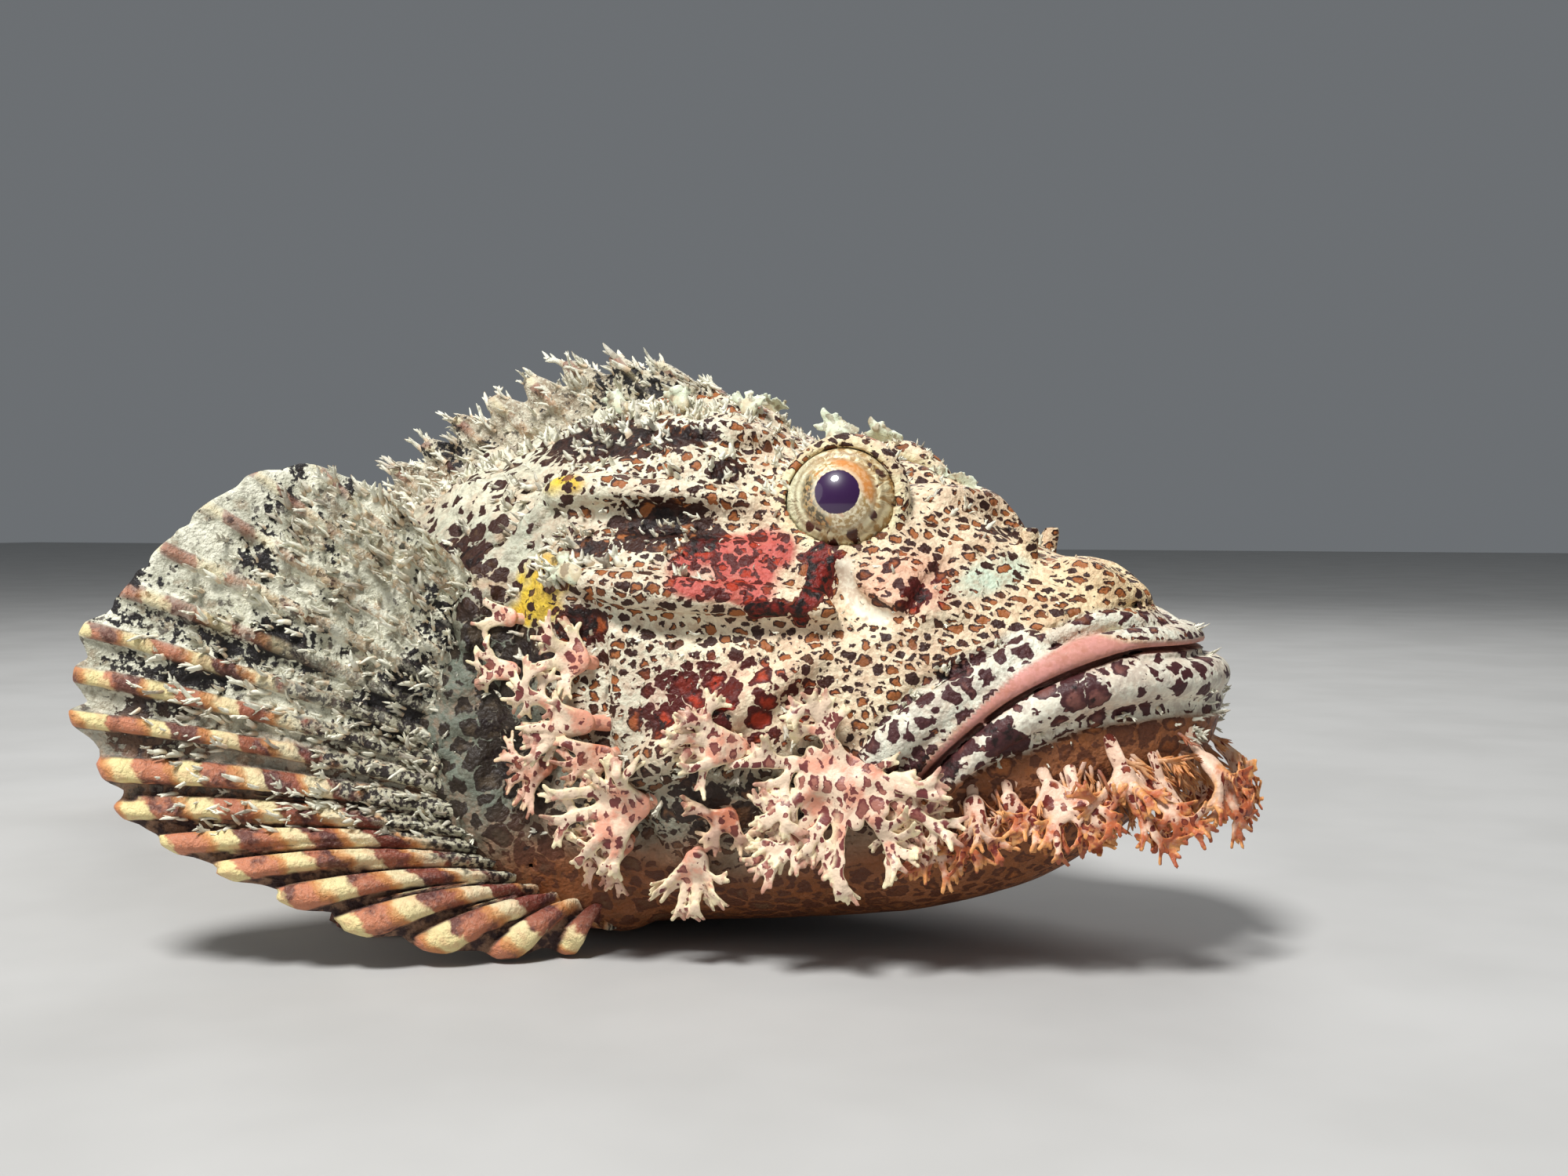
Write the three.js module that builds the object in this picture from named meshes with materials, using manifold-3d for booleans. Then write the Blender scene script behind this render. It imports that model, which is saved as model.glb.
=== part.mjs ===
// A life-size model of a tasselled scorpionfish that lies on a flat floor.
// Millimetres, +Z up, +X towards the snout. The fish's right side faces -Y.
// It is shaped in a straight frame whose x runs back from the lower jaw's tip,
// near x = 0, and everything behind BEND_START then curves towards +Y.
import * as THREE from "three";
import { mergeVertices } from "three/addons/utils/BufferGeometryUtils.js";
import Module from "manifold-3d";

const wasm = await Module();
wasm.setup();

const V = (x, y, z) => new THREE.Vector3(x, y, z);

// Driving dimensions

const GAP = 0.32;
const SKIN_SEGMENTS = 30;
const BEND_START = -114;
const BEND_CURVATURE = 0.0056;
const EYE = V(-56, 15.2, 69.4);
const EYE_RADIUS = 8.7;
const EYE_FACING = V(0.12, 0.93, 0.34).normalize();
const RIM_RADIUS = EYE_RADIUS + 0.2;
const RIM_THICK = 1.7;
const TAIL_START_X = -180;
const CAUDAL_BASE_X = -231;
const CAUDAL_LENGTH = 50;
const GILL_DEPTH = 24;
const TASSEL_ROOT = 2.2;
const SPINE_ROOT = 1.6;

// Body stations: x, top, underside, half width, height of the widest point
const STATIONS = [
  [-2.4, 42, 38, 3, 40],
  [-4.2, 45.2, 33.5, 7.6, 39.5],
  [-7.6, 49.2, 29.5, 11.8, 39],
  [-13, 54.2, 23.5, 15.9, 38],
  [-20, 59.4, 17.6, 19.6, 37],
  [-30, 63, 11.3, 22.8, 36],
  [-44, 71.5, 6.6, 27, 34.5],
  [-56, 74.5, 4.5, 29.8, 34],
  [-70, 80.6, 3, 33.3, 33],
  [-82, 85.4, 2, 35.6, 32.5],
  [-94, 85.5, 0.6, 36, 32],
  [-110, 81.5, -1.5, 33, 31],
  [-130, 74, -1.5, 29, 29.5],
  [-150, 64.5, -1.5, 24, 27],
  [-170, 54, 0.5, 18.5, 25.5],
  [-190, 45, 5.5, 13, 24.5],
  [-212, 38.5, 10, 8.5, 24],
  [CAUDAL_BASE_X, 36.5, 11.5, 5.5, 24],
];

// Rounded lumps and one hollow of the head, alike on both sides: where, how
// wide and how high
const SWELLINGS = [
  { at: V(-56, 15, 69), reach: 15, height: 2.6 },
  { at: V(-43, 7, 70), reach: 9, height: 2.4 },
  { at: V(-36, 11, 62), reach: 8, height: 1.5 },
  { at: V(-20, 4, 59), reach: 9, height: 1.2 },
  { at: V(-45, 24, 55), reach: 9, height: 1.6 },
  { at: V(-66, 29, 55), reach: 10, height: 1.6 },
  { at: V(-84, 33, 57), reach: 11, height: 2.6 },
  { at: V(-98, 33, 58), reach: 12, height: 2.4 },
  { at: V(-80, 20, 75), reach: 9, height: 1.8 },
  { at: V(-94, 25, 71), reach: 10, height: 2.6 },
  { at: V(-72, 32, 30), reach: 15, height: 1.8 },
  { at: V(-64, 0, 80), reach: 8, height: -2 },
];

// Lines in side view, as [x, z]: the cuts between head and trunk and between
// the jaws, and the outline of a gill cover
const HEAD_LINE = [
  [-87, 104],
  [-91, 84],
  [-100, 72],
  [-109, 60],
  [-112, 46],
  [-109, 28],
  [-98, 14],
  [-84, 4],
  [-80, -6],
];
const MOUTH_LINE = [
  [10, 47.5],
  [-5, 48.4],
  [-14, 48],
  [-27, 42.5],
  [-36, 35.5],
  [-43, 28],
  [-50, 15],
  [-53, -6],
];
const GILL_OUTLINE = [
  [-132, 60],
  [-112, 66.5],
  [-96, 67.5],
  [-91, 60],
  [-89.5, 48],
  [-88, 36],
  [-84, 24],
  [-82, 14],
  [-96, 7],
  [-132, 4],
];

// Lips of the left side, from the middle of the mouth to its corner
const UPPER_LIP = [
  V(-7, 0, 48.9),
  V(-9.6, 9.2, 48.9),
  V(-16, 16.2, 48.6),
  V(-25, 21, 45.6),
  V(-34, 24.6, 39.4),
  V(-42, 27, 31.5),
];
const LOWER_LIP = [
  V(-3.4, 0, 44),
  V(-6, 9.2, 44),
  V(-13.4, 16.6, 43.8),
  V(-24, 21.6, 41),
  V(-33, 24.8, 34.5),
  V(-40, 27, 27.5),
];
const LIP_RADII = [1.4, 1.9, 2.1, 2.2, 2.1, 2.2, 2.1, 2.2, 2.1, 1.9, 1.4];

// Ridges of the left side that lie on the skin: [x, z] along each, with radii
const RIDGES = {
  maxilla: {
    line: [
      [-15, 53.5],
      [-26, 49],
      [-37, 41],
      [-46, 31.5],
    ],
    radii: [1.5, 3, 3.6, 2.6],
    form: { flat: 0.6, steps: 5, sides: 7 },
  },
  cheek: {
    line: [
      [-38, 53.5],
      [-52, 55],
      [-68, 56.5],
      [-84, 57],
      [-89, 56.5],
    ],
    radii: [0.9, 1.9, 2.2, 2.2, 1.2],
    form: { steps: 6, sides: 5 },
  },
  brow: {
    line: [
      [-42, 73.5],
      [-49, 77.6],
      [-57, 78.6],
      [-66, 78],
      [-78, 80],
      [-87, 82],
    ],
    radii: [1, 2, 2.1, 1.9, 1.8, 1],
    form: { steps: 7, sides: 5 },
  },
  shoulder: {
    line: [
      [-70, 70],
      [-84, 71],
      [-97, 71.5],
      [-105, 70.5],
    ],
    radii: [1, 1.8, 1.8, 1],
    form: { steps: 4, sides: 5 },
  },
};

// Tassels of the left side: the root's [x, z] on the skin, the direction as
// [forward, out, up], the length, and the angle that the fan spreads over
const JAW_TASSELS = [
  { grow: [-6.5, 36], lie: [0.45, 0.25, -0.85], length: 12.5, spread: 1.1 },
  { grow: [-11, 33.5], lie: [0.3, 0.3, -0.9], length: 10, spread: 0.9 },
  { grow: [-16.5, 33.5], lie: [0.42, 0.3, -0.9], length: 15, spread: 1.3 },
  { grow: [-26, 30], lie: [0.4, 0.3, -0.9], length: 13, spread: 1.4 },
  { grow: [-34, 27.5], lie: [-0.05, 0.3, -1], length: 9.5, spread: 1.1 },
  { grow: [-12, 27], lie: [0.5, 0.2, -0.85], length: 9, spread: 1.2 },
  { grow: [-20, 21], lie: [0.3, 0.2, -0.9], length: 8, spread: 1.1 },
];
const CHEEK_TASSELS = [
  { grow: [-51.5, 33.5], lie: [0.05, 0.42, -1], length: 20, spread: 2.9 },
  { grow: [-64, 32.5], lie: [-1, 0.3, 0.05], length: 11, spread: 0.9 },
  { grow: [-79, 26], lie: [-0.85, 0.35, -0.55], length: 15, spread: 1.7 },
  { grow: [-75, 18.5], lie: [-0.45, 0.3, -0.9], length: 10, spread: 1.2 },
  { grow: [-69, 24], lie: [-0.5, 0.4, -0.7], length: 6, spread: 1 },
];
const GILL_TASSELS = [
  { grow: [-88.5, 37], lie: [-1, 0.3, 0.12], length: 12.5, spread: 1.1 },
  { grow: [-91, 46], lie: [-1, 0.35, 0.3], length: 7, spread: 1.2 },
  { grow: [-103, 47], lie: [-0.6, 0.8, 0], length: 5, spread: 1 },
];

// Spines of the left side: the root's [x, z] on the skin, the direction as
// [forward, out, up], and the length
const HEAD_SPINES = [
  { grow: [-25, 46.5], lie: [-0.1, 0.7, -0.7], length: 2.6 },
  { grow: [-33, 43.5], lie: [-0.5, 0.7, -0.6], length: 2.6 },
  { grow: [-60, 56.5], lie: [-0.8, 0.6, 0.1], length: 2.6 },
  { grow: [-72, 57], lie: [-0.85, 0.55, 0.15], length: 3 },
  { grow: [-88, 56.5], lie: [-0.85, 0.55, 0.1], length: 7.5 },
  { grow: [-36, 67.5], lie: [-0.5, 0.3, 0.8], length: 2.6 },
  { grow: [-47, 77.5], lie: [-0.4, 0.1, 0.9], length: 2.6 },
  { grow: [-66, 78.5], lie: [-0.7, 0.1, 0.8], length: 3 },
  { grow: [-80, 80.5], lie: [-0.8, 0.1, 0.7], length: 3.4 },
  { grow: [-86.5, 82], lie: [-0.85, 0.1, 0.6], length: 3 },
  { grow: [-84, 71], lie: [-0.85, 0.4, 0.3], length: 2.6 },
];
const GILL_SPINES = [
  { grow: [-90, 50.5], lie: [-0.85, 0.5, -0.1], length: 3 },
  { grow: [-101, 64.5], lie: [-0.93, 0.35, 0.15], length: 5 },
  { grow: [-101, 57], lie: [-0.95, 0.35, -0.05], length: 4.5 },
];

// Pectoral fin of the left side: its base bows back from PECTORAL_TOP to
// PECTORAL_FOOT, and each ray's tip is given as how far out it reaches and its
// height
const PECTORAL_TOP = V(-112, 29.5, 57);
const PECTORAL_BOW = V(-116, 33, 12);
const PECTORAL_FOOT = V(-91, 24.5, 5);
const PECTORAL_TIPS = [
  [15.8, 72],
  [25, 75.7],
  [33.5, 74.7],
  [41, 70],
  [48, 64],
  [54, 57.8],
  [59, 51.6],
  [62, 45],
  [62.6, 38.4],
  [61, 30.5],
  [59.5, 24],
  [54, 18.5],
  [47, 14.5],
  [41, 10],
  [33, 5.5],
  [24, 2],
  [15.5, 0.5],
  [8, 0],
];
const PECTORAL_FORM = { rows: 5, notch: 0.12, curved: false };
const PELVIC_FORM = { rows: 5, notch: 0.16, thin: 0.5, curved: false };

// Fins of the middle plane: how many rays, where the first and last grow, their
// lengths along the base as [share, length], their lean from upright, how deep
// the roots are sunk, and half the thickness of a ray
const SPINY_DORSAL = {
  count: 12,
  start: -76,
  end: -160,
  lengths: [
    [0, 9],
    [0.15, 13.5],
    [0.35, 15.5],
    [0.75, 12],
    [1, 10],
  ],
  lean: [0.7, 0.95],
  up: 1,
  sink: 4,
  thick: 1.5,
  form: { rows: 4, notch: 0.3, thin: 0.6 },
};
const SOFT_DORSAL = {
  count: 9,
  start: -168,
  end: -203,
  lengths: [
    [0, 17],
    [0.4, 21],
    [1, 14],
  ],
  lean: [0.75, 1.1],
  up: 1,
  sink: 3,
  thick: 1.1,
  form: { rows: 4, notch: 0.14 },
};
const ANAL = {
  count: 7,
  start: -186,
  end: -208,
  lengths: [
    [0, 8],
    [0.3, 16],
    [1, 15],
  ],
  lean: [0.8, 1.15],
  up: -1,
  sink: 3,
  thick: 1.3,
  form: { rows: 4, notch: 0.2 },
};

const SIDES = [
  ["left", 1],
  ["right", -1],
];

// Small helpers

// A repeatable stream of numbers from 0 to 1
function randomFrom(seed) {
  let state = seed >>> 0;
  return () => {
    state = (Math.imul(state, 1664525) + 1013904223) >>> 0;
    return state / 4294967296;
  };
}

// The smooth curve through a table of [position, ...values], read at a position
function readTable(rows, column, position) {
  const last = rows.length - 1;
  const sign = Math.sign(rows[last][0] - rows[0][0]);
  const along = (i) => sign * rows[i][0];
  const p = Math.min(Math.max(sign * position, along(0)), along(last));
  let i = 0;
  while (i < last - 1 && p > along(i + 1)) i += 1;
  const slope = (k) => {
    const a = Math.max(k - 1, 0);
    const b = Math.min(k + 1, last);
    return (rows[b][column] - rows[a][column]) / (along(b) - along(a));
  };
  const span = along(i + 1) - along(i);
  const t = (p - along(i)) / span;
  const t2 = t * t;
  const t3 = t2 * t;
  return (
    rows[i][column] * (2 * t3 - 3 * t2 + 1) +
    slope(i) * span * (t3 - 2 * t2 + t) +
    rows[i + 1][column] * (3 * t2 - 2 * t3) +
    slope(i + 1) * span * (t3 - t2)
  );
}

const mix = (a, b, t) => a.clone().lerp(b, t);

// The point at t of a curve that leaves a towards b and ends at c
const bow = (a, b, c, t) => mix(mix(a, b, t), mix(b, c, t), t);

// The mirror image in the fish's middle plane
const mirrored = (p) => V(p.x, -p.y, p.z);

// A smooth line through [x, z] points, as points of a flat shape
const smoothLine = (line) =>
  new THREE.SplineCurve(
    line.map(([x, z]) => new THREE.Vector2(x, z)),
  ).getPoints(line.length * 2);

// Carries a point of the straight frame onto the curved body
function bend(p) {
  const back = BEND_START - p.x;
  if (back <= 0) return p.clone();
  const turn = back * BEND_CURVATURE;
  return V(
    BEND_START - Math.sin(turn) / BEND_CURVATURE + p.y * Math.sin(turn),
    (1 - Math.cos(turn)) / BEND_CURVATURE + p.y * Math.cos(turn),
    p.z,
  );
}

// Solids

function closedGeometry(points, faces) {
  const geometry = new THREE.BufferGeometry();
  geometry.setFromPoints(points);
  geometry.setIndex(faces);
  return geometry;
}

// The solid of a geometry, turned so that its faces point out
function solid(geometry) {
  const plain = geometry.clone();
  plain.deleteAttribute("normal");
  plain.deleteAttribute("uv");
  const merged = mergeVertices(plain, 1e-4);
  const triVerts = new Uint32Array(merged.index.array);
  const vertProperties = new Float32Array(merged.attributes.position.array);
  const make = () =>
    new wasm.Manifold(
      new wasm.Mesh({ numProp: 3, vertProperties, triVerts }),
    );
  const made = make();
  if (made.volume() >= 0) return made;
  for (let i = 0; i < triVerts.length; i += 3)
    [triVerts[i + 1], triVerts[i + 2]] = [triVerts[i + 2], triVerts[i + 1]];
  return make();
}

const fuse = (solids) => solids.reduce((all, next) => all.add(next));

// The largest closed surface of a solid
function largest(whole) {
  return whole
    .decompose()
    .reduce((a, b) => (Math.abs(b.volume()) > Math.abs(a.volume()) ? b : a));
}

function geometryOf(whole) {
  const mesh = whole.getMesh();
  const points = [];
  for (let i = 0; i < mesh.numVert; i += 1)
    points.push(V(...mesh.vertProperties.slice(i * 3, i * 3 + 3)));
  const geometry = closedGeometry(points, Array.from(mesh.triVerts));
  geometry.computeVertexNormals();
  return geometry;
}

// A closed solid over a list of rings that all have the same number of points
function skinRings(rings) {
  const count = rings[0].length;
  const points = rings.flat();
  const faces = [];
  for (let i = 0; i + 1 < rings.length; i += 1)
    for (let j = 0; j < count; j += 1) {
      const a = i * count + j;
      const b = i * count + ((j + 1) % count);
      faces.push(a, b, b + count, a, b + count, a + count);
    }
  for (const [ring, flip] of [
    [0, true],
    [rings.length - 1, false],
  ]) {
    const centre = V(0, 0, 0);
    rings[ring].forEach((p) => centre.addScaledVector(p, 1 / count));
    const hub = points.push(centre) - 1;
    for (let j = 0; j < count; j += 1) {
      const a = ring * count + j;
      const b = ring * count + ((j + 1) % count);
      faces.push(...(flip ? [b, a, hub] : [a, b, hub]));
    }
  }
  return solid(closedGeometry(points, faces));
}

// A tapered tube through points, flattened against the side where flat is
// under 1
function tube(points, radii, { sides = 8, steps = 8, flat = 1 } = {}) {
  const curve = new THREE.CatmullRomCurve3(points);
  const table = radii.map((r, i) => [i / (radii.length - 1), r]);
  const outward = V(0, Math.sign(points[0].y + points.at(-1).y) || 1, 0.2);
  const rings = [];
  for (let i = 0; i <= steps; i += 1) {
    const t = i / steps;
    const radius = readTable(table, 1, t);
    const ahead = curve.getTangent(t);
    const side = V().crossVectors(ahead, outward).normalize();
    const lift = V().crossVectors(side, ahead).normalize();
    const ring = [];
    for (let j = 0; j < sides; j += 1) {
      const angle = (2 * Math.PI * j) / sides;
      ring.push(
        curve
          .getPoint(t)
          .addScaledVector(side, radius * Math.cos(angle))
          .addScaledVector(lift, radius * flat * Math.sin(angle)),
      );
    }
    rings.push(ring);
  }
  return skinRings(rings);
}

// A solid with an outline in x and z that runs from y = low to y = high
function prism(outline, low, high) {
  const geometry = new THREE.ExtrudeGeometry(new THREE.Shape(outline), {
    depth: high - low,
    bevelEnabled: false,
    curveSegments: 1,
  });
  geometry.rotateX(Math.PI / 2);
  geometry.translate(0, high, 0);
  return solid(geometry);
}

// A wall that follows a line of [x, z] right across the fish
function wall(line, thickness, low, high) {
  const centre = smoothLine(line);
  const face = (way) =>
    centre.map((p, i) => {
      const a = centre[Math.max(i - 1, 0)];
      const b = centre[Math.min(i + 1, centre.length - 1)];
      const across = new THREE.Vector2(a.y - b.y, b.x - a.x).normalize();
      return p.clone().addScaledVector(across, (way * thickness) / 2);
    });
  return prism([...face(-1), ...face(1).reverse()], low, high);
}

function box(low, high) {
  const size = high.clone().sub(low);
  const centre = mix(low, high, 0.5);
  const geometry = new THREE.BoxGeometry(size.x, size.y, size.z);
  return solid(geometry.translate(centre.x, centre.y, centre.z));
}

// A short pointed spine or lock with few sides
function spike(root, tip, radius, sides = 5) {
  const way = tip.clone().sub(root);
  const geometry = new THREE.ConeGeometry(radius, way.length(), sides);
  geometry.translate(0, way.length() / 2, 0);
  const turn = new THREE.Quaternion().setFromUnitVectors(
    V(0, 1, 0),
    way.normalize(),
  );
  geometry.applyQuaternion(turn);
  return solid(geometry.translate(root.x, root.y, root.z));
}

// The body's skin

// A point of the skin in the straight frame. The angle starts at the top and
// runs down the right side, and extra is added to every radius.
function skinPoint(x, angle, extra = 0) {
  const top = readTable(STATIONS, 1, x);
  const under = readTable(STATIONS, 2, x);
  const half = readTable(STATIONS, 3, x) + extra;
  const wide = readTable(STATIONS, 4, x);
  const up = Math.cos(angle);
  const out = -Math.sin(angle);
  const power = up > 0 ? 2.05 : 2.5;
  const reach = up > 0 ? top + extra - wide : wide - under + extra;
  const round =
    (Math.abs(up) ** power + Math.abs(out) ** power) ** (-1 / power);
  const p = V(x, half * out * round, wide + reach * up * round);
  for (const lump of SWELLINGS) {
    const near = mirrored(lump.at).setY(lump.at.y);
    const away = near.distanceTo(V(p.x, Math.abs(p.y), p.z)) / lump.reach;
    if (away < 1) {
      const side = V(0, p.y, p.z - wide).normalize();
      p.addScaledVector(side, lump.height * (1 - away * away) ** 2);
    }
  }
  return p;
}

// The left side's skin at a given x and height, with its outward direction
function onSkin([x, z]) {
  let low = Math.PI;
  let high = 2 * Math.PI;
  for (let i = 0; i < 24; i += 1) {
    const angle = (low + high) / 2;
    if (skinPoint(x, angle).z < z) low = angle;
    else high = angle;
  }
  const along = skinPoint(x + 0.5, low).sub(skinPoint(x - 0.5, low));
  const around = skinPoint(x, low + 0.04).sub(skinPoint(x, low - 0.04));
  const out = V().crossVectors(around, along).normalize();
  if (out.y < 0) out.negate();
  return { at: skinPoint(x, low), out };
}

function bodyRings(extra) {
  const positions = [];
  for (let x = STATIONS[0][0]; x > -30; x -= x > -8 ? 1.7 : 3.2)
    positions.push(x);
  for (let x = -30; x > -112; x -= 4.2) positions.push(x);
  for (let x = -112; x > CAUDAL_BASE_X; x -= 8.5) positions.push(x);
  positions.push(CAUDAL_BASE_X - extra);
  return positions.map((x) =>
    Array.from({ length: SKIN_SEGMENTS }, (_, j) =>
      bend(skinPoint(x, (2 * Math.PI * j) / SKIN_SEGMENTS, extra)),
    ),
  );
}

// Forms that stand on the skin

// A tassel: a flat fan of skin whose fingers fork at their tips. along points
// to the tips, face is the side that it shows, and curl bends it out.
function tassel({ root, along, face, length, spread, fingers, curl, seed }) {
  const random = randomFrom(seed);
  const across = V().crossVectors(face, along).normalize();
  const normal = V().crossVectors(along, across).normalize();
  const stalk = length * 0.12;
  const outline = [[0, -stalk]];
  const polar = (reach, angle) =>
    outline.push([reach * Math.cos(angle), reach * Math.sin(angle)]);
  const step = spread / (fingers - 1);
  for (let i = 0; i < fingers; i += 1) {
    const angle = -spread / 2 + i * step + (random() - 0.5) * 0.2 * step;
    const reach = length * (0.74 + 0.26 * random());
    const half = step * (0.13 + 0.08 * random());
    if (i > 0) polar(length * (0.34 + 0.16 * random()), angle - step / 2);
    polar(reach, angle - half);
    polar(reach * 0.84, angle);
    polar(reach * 0.96, angle + half);
  }
  outline.push([0, stalk]);
  const flat = outline.map(([u, v]) => new THREE.Vector2(u, v));
  const faces = THREE.ShapeUtils.triangulateShape(flat, []);
  const points = [];
  for (const side of [1, -1])
    for (const [u, v] of outline) {
      const out = Math.min(Math.hypot(u, v) / length, 1);
      const lift = curl * length * out * out + side * (0.7 - 0.4 * out);
      points.push(
        root
          .clone()
          .addScaledVector(along, u)
          .addScaledVector(across, v)
          .addScaledVector(normal, lift),
      );
    }
  const count = outline.length;
  const triangles = [];
  for (const [a, b, c] of faces)
    triangles.push(a, b, c, a + count, c + count, b + count);
  for (let i = 0; i < count; i += 1) {
    const next = (i + 1) % count;
    triangles.push(i, i + count, next + count, i, next + count, next);
  }
  return solid(closedGeometry(points, triangles));
}

// A direction given as [forward, out, up] at a place on the skin
const direction = ([forward, outward, up], out) =>
  V(forward, 0, up).addScaledVector(out, outward).normalize();

// Both sides of each tassel in a list
function tassels(list, seed) {
  return list.flatMap(({ grow, lie, length, spread }, i) => {
    const { at, out } = onSkin(grow);
    const along = direction(lie, out);
    const root = at
      .addScaledVector(along, -TASSEL_ROOT * 0.4)
      .addScaledVector(out, -TASSEL_ROOT * 0.6);
    return SIDES.map(([, way]) => {
      const turned = (p) => (way > 0 ? p : mirrored(p));
      return tassel({
        root: turned(root),
        along: turned(along),
        face: turned(out),
        length: length + TASSEL_ROOT,
        spread,
        fingers: Math.round(1.3 + length * 0.1 + spread),
        curl: way * 0.1,
        seed: seed + i * 7,
      });
    });
  });
}

// Both sides of each spine in a list
function spines(list) {
  return list.flatMap(({ grow, lie, length }) => {
    const { at, out } = onSkin(grow);
    const root = at.clone().addScaledVector(out, -SPINE_ROOT);
    const tip = at.clone().addScaledVector(direction(lie, out), length + 1);
    const radius = 0.55 + length * 0.17;
    return [
      spike(root, tip, radius),
      spike(mirrored(root), mirrored(tip), radius),
    ];
  });
}

// Both sides of each ridge
const ridges = Object.values(RIDGES).flatMap(({ line, radii, form }) => {
  const points = line.map((place) => onSkin(place).at);
  return [tube(points, radii, form), tube(points.map(mirrored), radii, form)];
});

// A lip right round the mouth, with extra added to its radius
function lip(half, extra) {
  const line = [...half.slice(1).map(mirrored).reverse(), ...half];
  const radii = LIP_RADII.map((radius) => radius + extra);
  return tube(line, radii, { steps: 16, sides: 5 });
}

// A geometry made about the origin, set on an eye and facing out along it
function atEye(geometry, way) {
  const facing = way > 0 ? EYE_FACING : mirrored(EYE_FACING);
  const centre = way > 0 ? EYE : mirrored(EYE);
  const turn = new THREE.Quaternion().setFromUnitVectors(V(0, 0, 1), facing);
  geometry.applyQuaternion(turn);
  return solid(geometry.translate(centre.x, centre.y, centre.z));
}

// The fringe of short locks over an eye, with the taller flap of the brow
function fringe(way) {
  const count = 7;
  const facing = way > 0 ? EYE_FACING : mirrored(EYE_FACING);
  const centre = way > 0 ? EYE : mirrored(EYE);
  const up = V(0, 0, 1).addScaledVector(facing, -facing.z).normalize();
  const fore = V().crossVectors(up, facing).multiplyScalar(way).normalize();
  return Array.from({ length: count }, (_, i) => {
    const angle = Math.PI * (0.1 + (0.62 * i) / (count - 1));
    const radial = fore
      .clone()
      .multiplyScalar(Math.cos(angle))
      .addScaledVector(up, Math.sin(angle));
    const root = centre
      .clone()
      .addScaledVector(radial, RIM_RADIUS)
      .addScaledVector(facing, -0.5);
    const length = i === count - 2 ? 5 : 3;
    const tip = root.clone().addScaledVector(radial, length);
    return spike(root, tip.addScaledVector(facing, 0.6), 0.9, 4);
  });
}

// Tube-shaped nostril on each side of the snout
const nostrils = SIDES.map(([, way]) =>
  tube([V(-31, 7.5 * way, 61), V(-30, 8.4 * way, 65.6)], [1.9, 1.3], {
    steps: 2,
    sides: 7,
  }),
);

// Fins

// A fin is a fan of rays joined by a membrane. Each ray has a root, a knee that
// it bows towards and a tip. Crests over the rays alternate with hollows between
// them, and the membrane stops short of the tips by notch.
function fin(rays, { rows, notch, thin = 0.45, curved = true }) {
  const columns = [];
  rays.forEach((ray, i) => {
    columns.push({ from: ray, to: ray, crest: true });
    if (i + 1 < rays.length)
      columns.push({ from: ray, to: rays[i + 1], crest: false });
  });
  const onRay = (ray, t) => bow(ray.root, ray.knee, ray.tip, t);
  const middle = columns.map(({ from, to, crest }) =>
    Array.from({ length: rows + 1 }, (_, k) => {
      const t = (k / rows) * (crest ? 1 : 1 - notch);
      return mix(onRay(from, t), onRay(to, t), 0.5);
    }),
  );
  const across = middle.length;
  const tall = rows + 1;
  const points = [];
  for (const side of [1, -1])
    middle.forEach((row, i) =>
      row.forEach((p, k) => {
        const beside = V().subVectors(
          middle[Math.min(i + 1, across - 1)][k],
          middle[Math.max(i - 1, 0)][k],
        );
        const ahead = V().subVectors(
          row[Math.min(k + 1, rows)],
          row[Math.max(k - 1, 0)],
        );
        const normal = V().crossVectors(beside, ahead).normalize();
        const { from, crest } = columns[i];
        const ridge = THREE.MathUtils.lerp(from.thick, 0.5, (k / rows) ** 2);
        const skin = p.clone().addScaledVector(normal, side * (crest ? ridge : thin));
        points.push(curved ? bend(skin) : skin);
      }),
    );
  const faces = [];
  const at = (side, i, k) => side * across * tall + i * tall + k;
  const quad = (a, b, c, d, flip) => {
    if (flip) faces.push(a, c, b, a, d, c);
    else faces.push(a, b, c, a, c, d);
  };
  for (let i = 0; i + 1 < across; i += 1)
    for (let k = 0; k < rows; k += 1)
      for (const side of [0, 1])
        quad(
          at(side, i, k),
          at(side, i + 1, k),
          at(side, i + 1, k + 1),
          at(side, i, k + 1),
          side === 1,
        );
  const rim = [];
  for (let i = 0; i < across; i += 1) rim.push([i, 0]);
  for (let k = 1; k < tall; k += 1) rim.push([across - 1, k]);
  for (let i = across - 2; i >= 0; i -= 1) rim.push([i, rows]);
  for (let k = rows - 1; k > 0; k -= 1) rim.push([0, k]);
  rim.forEach(([i, k], n) => {
    const [i2, k2] = rim[(n + 1) % rim.length];
    quad(at(0, i, k), at(1, i, k), at(1, i2, k2), at(0, i2, k2), false);
  });
  return solid(closedGeometry(points, faces));
}

const pectoralRays = PECTORAL_TIPS.map(([reach, height], i) => {
  const share = i / (PECTORAL_TIPS.length - 1);
  const root = bow(PECTORAL_TOP, PECTORAL_BOW, PECTORAL_FOOT, share);
  const turn = 0.61 + 0.65 * Math.max(0, share - 0.6);
  const tip = V(
    root.x - reach * Math.cos(turn),
    root.y + reach * Math.sin(turn),
    height,
  );
  const knee = mix(root, tip, 0.5).add(V(0.5, 3.2, 1.5 + 4.5 * share));
  return { root, knee, tip, thick: 0.8 + 1.5 * share ** 1.3 };
});

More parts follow.
